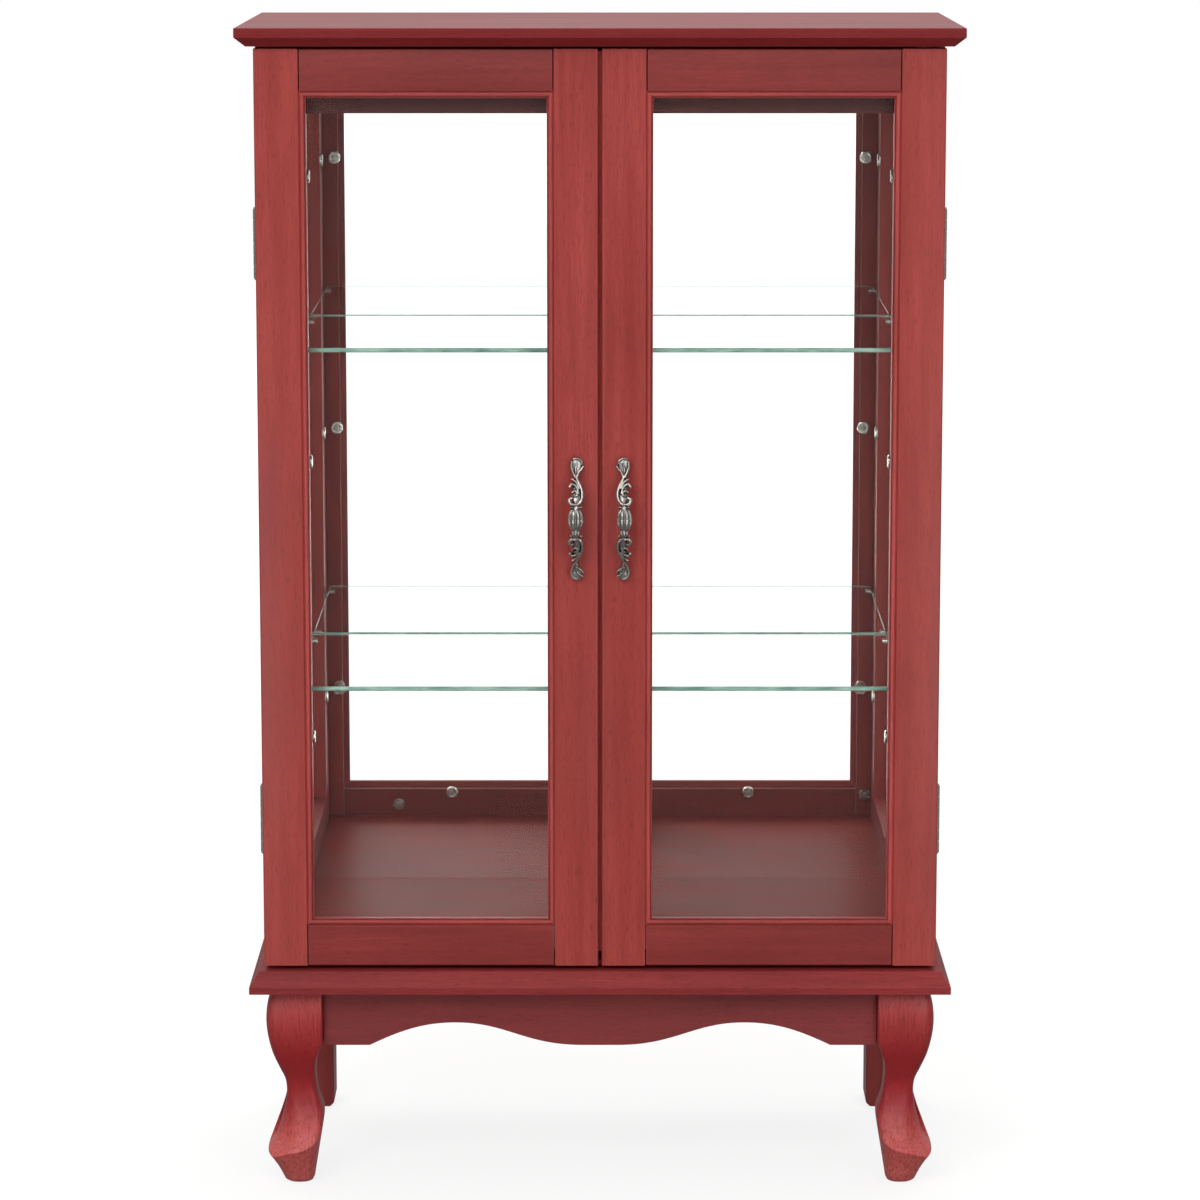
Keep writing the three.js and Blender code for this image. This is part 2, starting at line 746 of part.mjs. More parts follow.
// Doors: each group turns about its hinge axis
for (const side of [-1, 1]) {
  const word = side < 0 ? "left" : "right";
  const door = group(cabinet, word + "_door", [side * HINGE_X, HINGE_Y, 0]);
  const frontY = DOOR_FRONT_Y - HINGE_Y;
  const outerEdge = side * (BODY_HALF_WIDTH - HINGE_X);
  const startX = side < 0 ? outerEdge : outerEdge - DOOR_WIDTH;
  const parts = frame({
    width: DOOR_WIDTH,
    z0: DOOR_BOTTOM_Z,
    z1: DOOR_TOP_Z,
    startFlat: STILE_FLAT,
    endFlat: STILE_FLAT,
    bottomFlat: RAIL_FLAT,
    topFlat: RAIL_FLAT,
    thickness: DOOR_THICKNESS,
    glass: DOOR_GLASS,
  });
  let outerStile = side < 0 ? parts.start : parts.end;
  const innerStile = side < 0 ? parts.end : parts.start;
  for (const z of Object.values(HINGE_CENTRES_Z)) {
    outerStile = outerStile.subtract(hingePocket(side, false).translate([-startX, -frontY, z]));
  }
  const place = [startX, frontY, 0];
  add(door, word + "_door_outer_stile", outerStile, STILE_LOOK, place);
  add(door, word + "_door_inner_stile", innerStile, STILE_LOOK, place);
  add(door, word + "_door_top_rail", parts.top, RAIL_LOOK, place);
  add(door, word + "_door_bottom_rail", parts.bottom, RAIL_LOOK, place);
  add(door, word + "_door_glass", parts.pane, GLASS_LOOK, place);
  const handleX = side * (HANDLE_X - HINGE_X);
  add(door, word + "_handle", handle(side), SILVER_LOOK, [handleX, frontY - GAP, HANDLE_Z]);
  const catchX = side < 0 ? -206 : 271;
  const catchZ = side < 0 ? 229 : 239;
  const disc = turned([[0, 0], [6, 0], [6, 1.4], [4.6, 1.9], [0, 1.9]], 20);
  const discAt = [catchX - side * HINGE_X, frontY + DOOR_THICKNESS, catchZ];
  add(door, word + "_catch_plate", disc.rotate([-90, 0, 0]), NICKEL_LOOK, discAt);
  for (const [level, z] of Object.entries(HINGE_CENTRES_Z)) {
    const name = word + "_" + level + "_hinge";
    add(door, name + "_door_leaf", hingeLeaf(side, false, false), NICKEL_LOOK, [0, 0, z]);
    const seat = group(carcass, name, [side * HINGE_X, HINGE_Y, z]);
    add(seat, name + "_frame_leaf", hingeLeaf(side, true, true), NICKEL_LOOK);
    add(seat, name + "_pin", hingePin(), NICKEL_LOOK);
  }
}

export default cabinet;
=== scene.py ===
"""Looks of the curio cabinet: moulded frames, carved legs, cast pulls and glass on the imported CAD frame."""

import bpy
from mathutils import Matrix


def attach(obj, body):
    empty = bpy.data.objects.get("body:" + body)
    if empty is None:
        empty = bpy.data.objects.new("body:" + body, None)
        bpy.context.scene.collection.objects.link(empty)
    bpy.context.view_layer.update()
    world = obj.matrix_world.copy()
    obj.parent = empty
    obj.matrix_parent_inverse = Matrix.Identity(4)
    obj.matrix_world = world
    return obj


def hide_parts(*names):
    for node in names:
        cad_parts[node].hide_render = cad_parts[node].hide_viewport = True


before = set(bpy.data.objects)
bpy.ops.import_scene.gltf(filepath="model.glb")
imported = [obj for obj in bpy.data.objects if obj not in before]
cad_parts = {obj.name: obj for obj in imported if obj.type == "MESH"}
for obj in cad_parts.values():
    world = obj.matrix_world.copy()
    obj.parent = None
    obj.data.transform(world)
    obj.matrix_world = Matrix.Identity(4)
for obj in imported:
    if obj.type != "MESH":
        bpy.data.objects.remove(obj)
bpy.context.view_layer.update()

import math

import bpy
from mathutils import Matrix, Vector

MM = 0.001

# Sizes in millimetres, the same as the CAD's
BODY_HALF_WIDTH = 301.5
SIDE_THICKNESS = 24.0
INNER_HALF_WIDTH = BODY_HALF_WIDTH - SIDE_THICKNESS
DOOR_FRONT_Y = -136.0
DOOR_THICKNESS = 20.0
DOOR_BACK_Y = DOOR_FRONT_Y + DOOR_THICKNESS
CARCASS_FRONT_Y = -114.0
BACK_Y = 160.0
LEG_TOP_Z = 184.0
BASE_TOP_Z = 203.6
DOOR_BOTTOM_Z = 207.6
DOOR_TOP_Z = 1027.4
TOP_BOTTOM_Z = 1029.6
DOOR_WIDTH = 300.0
STILE_FLAT = 39.0
RAIL_FLAT = 37.0
BEAD = 6.0
LIP = 9.0
SIDE_STILE_REAR = 48.0
SIDE_RAIL_TOP = 39.0
SIDE_RAIL_BOTTOM = 41.0
GAP = 0.3
TOP_HALF_WIDTH = 317.0
TOP_FRONT_Y = -151.5
BASE_HALF_WIDTH = 314.5
BASE_FRONT_Y = -149.0
APRON_LOW_Z = 130.3
APRON_ARCH_Z = 151.3
REAR_LEG_SIZE = 44.0
REAR_LEG_OUTER = 300.0
BACK_PANEL_Y = 158.3
CLIP_HEIGHTS = (349.0, 618.0, 891.0)
CLIP_OVERHANG = 3.5
CATCH_SPOTS = {"left": (-206.0, 229.0), "right": (271.0, 239.0)}
JOINT_GAP = 0.25
SHOULDER_GAP = 0.9  # between a rail end and its stile
HINGE_X = 302.0
HINGE_Y = -115.0
HINGE_CENTRES_Z = {"upper": 856.0, "lower": 338.0}
HINGE_HEIGHT = 61.8
KNUCKLES = 6
KNUCKLE_RADIUS = 2.9
LEAF_WIDTH = 20.0
LEAF_THICKNESS = 1.5
LEAF_GAP = 0.4
SHELF_TOPS = {"upper": 762.6, "lower": 457.5}
SHELF_THICKNESS = 4.0
PIN_RADIUS = 2.5
PIN_ROWS = {"front": -92.0, "rear": 128.0}
HANDLE_X = 20.8
HANDLE_Z = 614.5
KNEE_OUTER = 301.4
FOOT_HOLLOW = 7.5
SIDES = {"left": -1, "right": 1}

# Strength of the studio round the object
WORLD_LOW = 0.2
WORLD_HIGH = 0.7
WORLD_BACK = 0.5
WORLD_IN_MIRROR = 1.35

# Camera, in metres and degrees
CAMERA_LENS = 128.7
CAMERA_SHIFT = -0.074
CAMERA_PLACE = (0.0, -3.876, 1.22)
CAMERA_TILT = 9.1


# ---------------------------------------------------------------- mesh helpers
def mesh_piece(name, verts, faces, materials, smooth_angle=32.0, face_slots=None):
    """A mesh object from vertices in millimetres."""
    mesh = bpy.data.meshes.new(name)
    mesh.from_pydata([tuple(c * MM for c in v) for v in verts], [], faces)
    mesh.validate()
    for mat in materials:
        mesh.materials.append(mat)
    if face_slots:
        for poly, index in zip(mesh.polygons, face_slots):
            poly.material_index = index
    for poly in mesh.polygons:
        poly.use_smooth = True
    mesh.set_sharp_from_angle(angle=math.radians(smooth_angle))
    obj = bpy.data.objects.new(name, mesh)
    bpy.context.collection.objects.link(obj)
    return obj


class Shape:
    """Vertices and faces gathered from several closed parts."""

    def __init__(self):
        self.verts = []
        self.faces = []
        self.slots = []

    def add(self, verts, faces, slot=0):
        base = len(self.verts)
        self.verts.extend(tuple(v) for v in verts)
        self.faces.extend(tuple(base + i for i in f) for f in faces)
        self.slots.extend([slot] * len(faces))
        return self

    def moved(self, place):
        self.verts = [tuple(place(*v)) for v in self.verts]
        return self

    def piece(self, name, materials, smooth_angle=32.0):
        return mesh_piece(name, self.verts, self.faces, materials, smooth_angle, self.slots)


def outward(verts, faces):
    """The faces turned so that the closed part's volume is positive."""
    total = 0.0
    for f in faces:
        a = Vector(verts[f[0]])
        for i in range(1, len(f) - 1):
            total += a.dot(Vector(verts[f[i]]).cross(Vector(verts[f[i + 1]])))
    return faces if total > 0 else [tuple(reversed(f)) for f in faces]


def rings_to_part(rings, closed_ends=True):
    """A closed part from rings of equal length."""
    count = len(rings[0])
    verts = [p for ring in rings for p in ring]
    faces = []
    for r in range(len(rings) - 1):
        for i in range(count):
            j = (i + 1) % count
            faces.append((r * count + i, r * count + j, (r + 1) * count + j, (r + 1) * count + i))
    if closed_ends:
        faces.append(tuple(reversed(range(count))))
        last = (len(rings) - 1) * count
        faces.append(tuple(range(last, last + count)))
    return verts, outward(verts, faces)


def prism(section, low, high, axis="z"):
    """A section of (a, b) points carried along an axis; low and high give the end for each point."""
    orders = {"z": lambda a, b, t: (a, b, t), "x": lambda a, b, t: (t, a, b), "y": lambda a, b, t: (a, t,
        b)}
    put = orders[axis]
    at = lambda end, a, b: end(a, b) if callable(end) else end
    rings = [[put(a, b, at(end, a, b)) for a, b in section] for end in (low, high)]
    return rings_to_part(rings)


def arc(cx, cy, radius, start, stop, steps):
    """Points on an arc, angles in degrees."""
    points = []
    for i in range(steps + 1):
        angle = math.radians(start + (stop - start) * i / steps)
        points.append((cx + radius * math.cos(angle), cy + radius * math.sin(angle)))
    return points


def rounded_rect(x0, x1, y0, y1, radius, steps=4):
    """A rectangle with rounded corners as a list of points."""
    return (
        arc(x1 - radius, y1 - radius, radius, 0, 90, steps)
        + arc(x0 + radius, y1 - radius, radius, 90, 180, steps)
        + arc(x0 + radius, y0 + radius, radius, 180, 270, steps)
        + arc(x1 - radius, y0 + radius, radius, 270, 360, steps)
    )


def board(x0, x1, y0, y1, z0, z1):
    """A plain rectangular board, its edges left to a bevel modifier."""
    return prism([(x0, y0), (x1, y0), (x1, y1), (x0, y1)], z0, z1)


def lathe(profile, segments=32):
    """A closed part turned about z from (radius, height) points that start and end on the axis."""
    rings = []
    for radius, height in profile[1:-1]:
        ring = []
        for i in range(segments):
            angle = 2 * math.pi * i / segments
            ring.append((radius * math.cos(angle), radius * math.sin(angle), height))
        rings.append(ring)
    verts = [p for ring in rings for p in ring]
    faces = []
    for r in range(len(rings) - 1):
        for i in range(segments):
            j = (i + 1) % segments
            a = r * segments
            b = a + segments
            faces.append((a + i, a + j, b + j, b + i))
    first = len(verts)
    verts.append((0, 0, profile[0][1]))
    verts.append((0, 0, profile[-1][1]))
    last = (len(rings) - 1) * segments
    for i in range(segments):
        j = (i + 1) % segments
        faces.append((first, j, i))
        faces.append((first + 1, last + i, last + j))
    return verts, outward(verts, faces)


def shifted(part, dx=0.0, dy=0.0, dz=0.0):
    verts, faces = part
    return [(x + dx, y + dy, z + dz) for x, y, z in verts], faces


def turned(part, axis, degrees):
    verts, faces = part
    turn = Matrix.Rotation(math.radians(degrees), 3, axis)
    return [tuple(turn @ Vector(v)) for v in verts], faces


def eased(obj, width, segments=3):
    """Rounds the sharp edges of a piece."""
    mod = obj.modifiers.new("eased", "BEVEL")
    mod.width = width * MM
    mod.segments = segments
    mod.limit_method = "ANGLE"
    mod.angle_limit = math.radians(30)
    mod.harden_normals = True
    return obj


def dress(obj, body, node=None):
    """Lets a piece ride on a body, in the place of a CAD node."""
    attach(obj, body)
    if node:
        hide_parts(node)
    return obj


# ---------------------------------------------------------------- materials
def rgb(r, g, b):
    """A display colour of 0 to 255 as linear light."""
    linear = []
    for c in (r, g, b):
        c /= 255
        linear.append(c / 12.92 if c <= 0.04045 else ((c + 0.055) / 1.055) ** 2.4)
    return (*linear, 1.0)


class Nodes:
    """A node tree with short ways to add and link nodes."""

    def __init__(self, name):
        self.mat = bpy.data.materials.new(name)
        self.mat.use_nodes = True
        self.tree = self.mat.node_tree
        self.tree.nodes.clear()
        self.out = self.tree.nodes.new("ShaderNodeOutputMaterial")

    def add(self, kind, inputs=None, **settings):
        node = self.tree.nodes.new("ShaderNode" + kind)
        for key, value in settings.items():
            setattr(node, key, value)
        for key, value in (inputs or {}).items():
            socket = node.inputs[key]
            if isinstance(value, bpy.types.NodeSocket):
                self.tree.links.new(value, socket)
            else:
                socket.default_value = value
        return node

    def coords(self):
        return self.add("TexCoord").outputs["Object"]

    def noise(self, vector, scale, detail=4.0, roughness=0.55, distortion=0.0):
        inputs = {"Vector": vector, "Scale": scale, "Detail": detail, "Roughness": roughness}
        inputs["Distortion"] = distortion
        return self.add("TexNoise", inputs).outputs["Fac"]

    def stretch(self, vector, scale):
        return self.add("Mapping", {"Vector": vector, "Scale": scale}).outputs["Vector"]

    def ramp(self, fac, stops):
        node = self.add("ValToRGB", {"Fac": fac})
        ramp = node.color_ramp
        while len(ramp.elements) < len(stops):
            ramp.elements.new(0.5)
        for element, (position, colour) in zip(ramp.elements, stops):
            element.position = position
            element.color = colour
        return node.outputs["Color"]

    def mix(self, fac, a, b, blend="MIX"):
        node = self.add("Mix", data_type="RGBA", blend_type=blend)
        for socket, value in ((node.inputs[0], fac), (node.inputs[6], a), (node.inputs[7], b)):
            if isinstance(value, bpy.types.NodeSocket):
                self.tree.links.new(value, socket)
            else:
                socket.default_value = value
        return node.outputs[2]

    def math(self, operation, a, b=0.0, clamp=False):
        node = self.add("Math", operation=operation, use_clamp=clamp)
        for socket, value in ((node.inputs[0], a), (node.inputs[1], b)):
            if isinstance(value, bpy.types.NodeSocket):
                self.tree.links.new(value, socket)
            else:
                socket.default_value = value
        return node.outputs[0]

    def scaled(self, fac, low, high, from_low=0.0, from_high=1.0):
        inputs = {"Value": fac, "From Min": from_low, "From Max": from_high, "To Min": low,
            "To Max": high}
        return self.add("MapRange", inputs).outputs["Result"]

    def bump(self, height, strength, distance):
        return self.add("Bump", {"Height": height, "Strength": strength,
            "Distance": distance}).outputs["Normal"]

    def finish(self, shader):
        self.tree.links.new(shader, self.out.inputs["Surface"])
        return self.mat


def wood(name, base, dark, along, seed=0.0, roughness=0.4, coat=0.06, edge=0.3, specular=0.22,
        painted_light_rows=None):
    """Stained wood with its grain along one axis; an optional list of (height, colour) rows paints light and
    shade by height into the colour.
    """
    n = Nodes(name)
    start = n.add("Mapping", {"Vector": n.coords(), "Location": (seed, seed * 0.7,
        seed * 1.3)}).outputs["Vector"]
    across, length = 1.0, 0.05
    axes = {"x": (length, across, across), "y": (across, length, across), "z": (across, across, length)}
    wide = n.noise(n.stretch(start, axes[along]), 95.0, 6.0, 0.62, 0.35)
    fine = n.noise(n.stretch(start, axes[along]), 620.0, 3.0, 0.65)
    dashes = tuple(v if v == across else 0.09 for v in axes[along])
    pores = n.noise(n.stretch(start, dashes), 1300.0, 2.0, 0.5)
    blotch = n.noise(start, 5.5, 3.0, 0.5)
    tone = n.ramp(wide, [(0.3, dark), (0.7, base)])
    # Painted light and shade: the colour comes from a ramp by height, with the grain mixed over it.
    if painted_light_rows:
        height = n.add("SeparateXYZ", {"Vector": n.coords()}).outputs["Z"]
        top = painted_light_rows[-1][0]
        painted_light_ramp = n.ramp(n.scaled(height, 0.0, 1.0, 0.0, top), [(h / top, colour) for h, colour in painted_light_rows])
        tone = n.mix(n.scaled(wide, 0.25, 0.0, 0.3, 0.7), painted_light_ramp, dark)
    lift = n.scaled(blotch, 0.88, 1.12, 0.3, 0.7)
    tone = n.mix(1.0, tone, n.add("CombineColor", {"Red": lift, "Green": lift, "Blue": lift}).outputs[0],
        "MULTIPLY")
    tone = n.mix(n.scaled(fine, 0.62, 0.0, 0.34, 0.54), tone, dark)
    tone = n.mix(n.scaled(pores, 0.42, 0.0, 0.32, 0.43), tone, tuple(c * 0.4 for c in dark[:3]) + (1.0,))
    # Painted highlight: edges found through the Bevel normal are lightened towards a brighter copy of the base
    # colour, varied by the blotch noise.
    rounded = n.add("Bevel", {"Radius": 1.4 * MM}, samples=4).outputs["Normal"]
    flat = n.add("NewGeometry").outputs["Normal"]
    same = n.add("VectorMath", operation="DOT_PRODUCT")
    n.tree.links.new(rounded, same.inputs[0])
    n.tree.links.new(flat, same.inputs[1])
    painted_edge_highlight = n.scaled(same.outputs["Value"], edge, 0.0, 0.86, 0.995)
    edge_highlight_tone = tuple(min(1.0, c * 1.7 + 0.02) for c in base[:3]) + (1.0,)
    tone = n.mix(n.math("MULTIPLY", painted_edge_highlight, n.scaled(blotch, 0.5, 1.3, 0.3, 0.7)), tone, edge_highlight_tone)
    rough = n.scaled(wide, roughness - 0.05, roughness + 0.08, 0.3, 0.7)
    height = n.math("ADD", n.math("MULTIPLY", fine, 0.5), n.math("MULTIPLY", pores, 0.9))
    shader = n.add(
        "BsdfPrincipled",
        {
            "Base Color": tone,
            "Roughness": rough,
            "Specular IOR Level": specular,
            "Coat Weight": coat,
            "Coat Roughness": 0.3,
            "Normal": n.bump(height, 0.18, 0.2 * MM),
        },
    )
    return n.finish(shader.outputs[0])


def metal(name, base, dark, roughness, cavity=0.0, scratch=0.3):
    """Plated metal with fine brushing; cavity sets how dark the recesses are painted, partly patina and partly
    painted shade.
    """
    n = Nodes(name)
    spot = n.coords()
    mottled = n.noise(spot, 240.0, 4.0, 0.6)
    brushed = n.noise(n.stretch(spot, (1.0, 1.0, 0.06)), 1800.0, 2.0, 0.5)
    tone = n.mix(n.scaled(mottled, 0.0, 0.5, 0.4, 0.75), base, dark)
    rough = n.scaled(mottled, roughness - 0.06, roughness + 0.12, 0.3, 0.7)
    if cavity:
        # Patina and painted shade: ambient occlusion darkens the recesses nearly to black and roughens them.
        open_share = n.add("AmbientOcclusion", {"Distance": 4.5 * MM}, samples=8,
            only_local=True).outputs["AO"]
        deep = n.scaled(open_share, cavity, 0.0, 0.66, 0.99)
        tone = n.mix(deep, tone, tuple(c * 0.05 for c in dark[:3]) + (1.0,))
        rough = n.math("ADD", rough, n.math("MULTIPLY", deep, 0.3), clamp=True)
    shader = n.add(
        "BsdfPrincipled",
        {
            "Base Color": tone,
            "Metallic": 1.0,
            "Roughness": rough,
            "Normal": n.bump(brushed, scratch * 0.3, 0.05 * MM),
        },
    )
    return n.finish(shader.outputs[0])


def clear_glass(name, tint, thick_tint, ior):
    """A clear pane that lets lamps through."""
    n = Nodes(name)
    smear = n.noise(n.coords(), 7.0, 3.0, 0.6)
    tone = n.mix(n.scaled(smear, 0.0, 1.0, 0.35, 0.65), tint, thick_tint)
    glass = n.add(
        "BsdfPrincipled",
        {"Base Color": tone, "Roughness": 0.0, "IOR": ior, "Transmission Weight": 1.0},
    )
    path = n.add("LightPath")
    lamp = n.math("MAXIMUM", path.outputs["Is Shadow Ray"], path.outputs["Is Diffuse Ray"])
    through = n.add("BsdfTransparent", {"Color": tint})
    both = n.add("MixShader", {"Fac": lamp})
    n.tree.links.new(glass.outputs[0], both.inputs[1])
    n.tree.links.new(through.outputs[0], both.inputs[2])
    return n.finish(both.outputs[0])


def edge_glass(name, base, deep):
    """The ground edge of a glass shelf."""
    n = Nodes(name)
    streak = n.noise(n.stretch(n.coords(), (0.2, 0.2, 1.0)), 300.0, 3.0, 0.5)
    tone = n.mix(n.scaled(streak, 0.1, 0.9, 0.35, 0.65), deep, base)
    shader = n.add(
        "BsdfPrincipled",
        {"Base Color": tone, "Roughness": 0.22, "Transmission Weight": 0.35, "IOR": 1.5},
    )
    return n.finish(shader.outputs[0])


def mirror(name):
    n = Nodes(name)
    haze = n.noise(n.coords(), 3.0, 2.0, 0.5)
    tone = n.ramp(haze, [(0.3, rgb(250, 252, 251)), (0.7, rgb(254, 255, 255))])
    shader = n.add("BsdfPrincipled", {"Base Color": tone, "Metallic": 1.0, "Roughness": 0.0})
    return n.finish(shader.outputs[0])


def backing(name):
    """Plain fibreboard."""
    n = Nodes(name)
    spot = n.coords()
    speck = n.noise(spot, 700.0, 4.0, 0.7)
    cloud = n.noise(spot, 8.0, 3.0, 0.6)
    tone = n.ramp(speck, [(0.3, rgb(112, 82, 55)), (0.7, rgb(158, 124, 88))])
    tone = n.mix(n.scaled(cloud, 0.0, 0.35, 0.35, 0.7), tone, rgb(126, 92, 62))
    shader = n.add(
        "BsdfPrincipled",
        {"Base Color": tone, "Roughness": 0.82, "Normal": n.bump(speck, 0.3, 0.2 * MM)},
    )
    return n.finish(shader.outputs[0])


STILE_BASE, STILE_DARK = rgb(154, 60, 54), rgb(134, 47, 43)
RAIL_BASE, RAIL_DARK = rgb(132, 49, 46), rgb(113, 40, 37)
TOP_BASE, TOP_DARK = rgb(126, 37, 38), rgb(106, 27, 29)
BASE_BASE, BASE_DARK = rgb(132, 47, 47), rgb(112, 36, 37)
APRON_BASE, APRON_DARK = rgb(128, 50, 50), rgb(110, 41, 42)
LEG_BASE, LEG_DARK = rgb(150, 42, 44), rgb(122, 26, 30)
# Painted light and shade on the front legs, by height in metres: a lit foot, a shaded ankle and shank, and a lit
# knee.
LEG_PAINTED_LIGHT_ROWS = [(0.0, rgb(196, 98, 92)), (0.045, rgb(192, 88, 84)), (0.075, rgb(150, 40, 44)), (0.12,
    rgb(136, 28, 32))]
LEG_PAINTED_LIGHT_ROWS += [(0.15, rgb(152, 50, 50)), (0.184, rgb(160, 64, 62))]
INSIDE_BASE, INSIDE_DARK = rgb(140, 54, 50), rgb(108, 38, 36)
# Painted shade: the front top rail behind the doors takes a dark copy of the cherry.
LINTEL_SHADED_BASE, LINTEL_SHADED_DARK = rgb(80, 36, 33), rgb(66, 28, 26)

MAT = {
    "stile": wood("stile_cherry", STILE_BASE, STILE_DARK, "z", 1.0),
    "rail": wood("rail_cherry", RAIL_BASE, RAIL_DARK, "x", 2.0),
    "side_rail": wood("side_rail_cherry", RAIL_BASE, RAIL_DARK, "y", 3.0),
    # Painted highlight: the beads take a lighter copy of the stile and rail cherry.
    "bead": wood("bead_cherry", rgb(168, 70, 66), rgb(140, 52, 50), "z", 4.0),
    "bead_x": wood("bead_cherry_level", rgb(160, 66, 62), rgb(134, 50, 48), "x", 4.5),
    "top": wood("top_cherry", TOP_BASE, TOP_DARK, "x", 5.0, 0.5, 0.0, 0.4, 0.14),
    "base": wood("base_cherry", BASE_BASE, BASE_DARK, "x", 6.0, 0.46, 0.0, 0.5, 0.12),
    "apron": wood("apron_cherry", APRON_BASE, APRON_DARK, "x", 7.0, 0.5, 0.0),
    "side_apron": wood("side_apron_cherry", APRON_BASE, APRON_DARK, "y", 8.0, 0.5, 0.0),
    "leg": wood("leg_cherry_painted_light", LEG_BASE, LEG_DARK, "z", 9.0, painted_light_rows=LEG_PAINTED_LIGHT_ROWS),
    "rear_leg": wood("rear_leg_cherry", RAIL_BASE, RAIL_DARK, "z", 10.0),
    "inside": wood("inside_cherry", INSIDE_BASE, INSIDE_DARK, "x", 11.0, 0.4, 0.0, 0.3, 0.04),
    "lintel": wood("lintel_cherry_painted_shade", LINTEL_SHADED_BASE, LINTEL_SHADED_DARK, "x", 12.0, 0.5, 0.0, 0.3, 0.1),
    "nickel": metal("brushed_nickel", rgb(188, 186, 180), rgb(96, 94, 90), 0.22),
    "silver": metal("antique_silver", rgb(160, 156, 151), rgb(100, 96, 92), 0.27, cavity=1.0),
    "screw": metal("screw_steel", rgb(170, 166, 158), rgb(92, 88, 82), 0.32),
    "glass": clear_glass("door_glass", rgb(254, 255, 254), rgb(251, 254, 252), 1.17),
    "shelf": clear_glass("shelf_glass", rgb(250, 253, 252), rgb(246, 251, 249), 1.3),
    "shelf_edge": edge_glass("shelf_edge_glass", rgb(178, 214, 200), rgb(96, 148, 132)),
    "mirror": mirror("silvered_mirror"),
    "backing": backing("fibreboard"),
}


# ---------------------------------------------------------------- framed doors and sides
def bead_section(flat):
    """The moulded inner edge: a quirk, a round bead, a groove and a fillet, as (across, back) points."""
    points = [(flat - 0.6, 2.4), (flat + 0.25, 1.9)]
    for i in range(11):
        angle = math.radians(30 + (168 - 30) * i / 10)
        points.append((flat + 2.6 - 2.2 * math.cos(angle), 2.7 - 2.2 * math.sin(angle)))
    points += [(flat + 4.75, 4.9), (flat + 5.15, 4.9), (flat + 5.3, 3.3), (flat + 5.8, 3.3),
        (flat + BEAD, 3.6)]
    points += [(flat + BEAD, LIP), (flat - 0.6, LIP)]
    return points


def flat_section(flat, thickness):
    """The flat part of a framed piece, its front edges eased, as (across, back) points."""
    outer = 1.6
    inner = 0.55
    points = [(0, thickness), (0, outer)]
    points += [(outer - outer * math.cos(math.radians(a)),
        outer - outer * math.sin(math.radians(a))) for a in (22, 45, 68)]
    points += [(outer, 0), (flat - inner, 0), (flat, inner), (flat, thickness)]
    return points


def frame_pieces(width, z0, z1, flats, thickness):
    """Stiles and rails as (part list) in a frame's own space: across, back and up."""
    start, end, bottom, top = flats
    low, high = z0 + bottom, z1 - top
    made = {}
    for key, flat, place in (("start", start, lambda a: a), ("end", end, lambda a: width - a)):
        shape = Shape()
        section = [(place(a), y) for a, y in flat_section(flat, thickness)]
        shape.add(*prism(section, z0, z1), 0)
        section = [(place(a), y) for a, y in bead_section(flat)]
        if key == "start":
            over = lambda a, f=flat: a - f
        else:
            over = lambda a, f=flat: (width - a) - f
        lower = lambda a, b, o=over: low + max(o(a), -0.6) + JOINT_GAP * 0.6
        upper = lambda a, b, o=over: high - max(o(a), -0.6) - JOINT_GAP * 0.6
        shape.add(*prism(section, lower, upper), 1)
        made[key] = shape
    for key, flat, place in (("bottom", bottom, lambda h: z0 + h), ("top", top, lambda h: z1 - h)):
        shape = Shape()
        section = [(y, place(h)) for h, y in flat_section(flat, thickness)]
        x0, x1 = start + SHOULDER_GAP, width - end - SHOULDER_GAP
        shape.add(*prism(section, x0, x1, "x"), 0)
        section = [(y, place(h)) for h, y in bead_section(flat)]
        if key == "bottom":
            over = lambda z: z - low
        else:
            over = lambda z: high - z
        lower = lambda y, z, o=over: start + max(o(z), -0.6) + JOINT_GAP * 0.6
        upper = lambda y, z, o=over: width - end - max(o(z), -0.6) - JOINT_GAP * 0.6
        shape.add(*prism(section, lower, upper, "x"), 1)
        made[key] = shape
    return made


def build_door(word, side):
    body = word + "_door"
    outer = side * BODY_HALF_WIDTH
    start_x = outer if side < 0 else outer - DOOR_WIDTH
    flats = (STILE_FLAT, STILE_FLAT, RAIL_FLAT, RAIL_FLAT)
    made = frame_pieces(DOOR_WIDTH, DOOR_BOTTOM_Z, DOOR_TOP_Z, flats, DOOR_THICKNESS)
    names = {"start": "outer_stile", "end": "inner_stile"} if side < 0 else {"start": "inner_stile",
        "end": "outer_stile"}
    names.update(bottom="bottom_rail", top="top_rail")
    for key, shape in made.items():
        upright = key in ("start", "end")
        mats = [MAT["stile"], MAT["bead"]] if upright else [MAT["rail"], MAT["bead_x"]]
        shape.moved(lambda x, y, z: (x + start_x, y + DOOR_FRONT_Y, z))
        name = word + "_door_" + names[key]
        obj = shape.piece(name + "_look", mats)
        eased(obj, 0.35, 2)
        dress(obj, body, name)


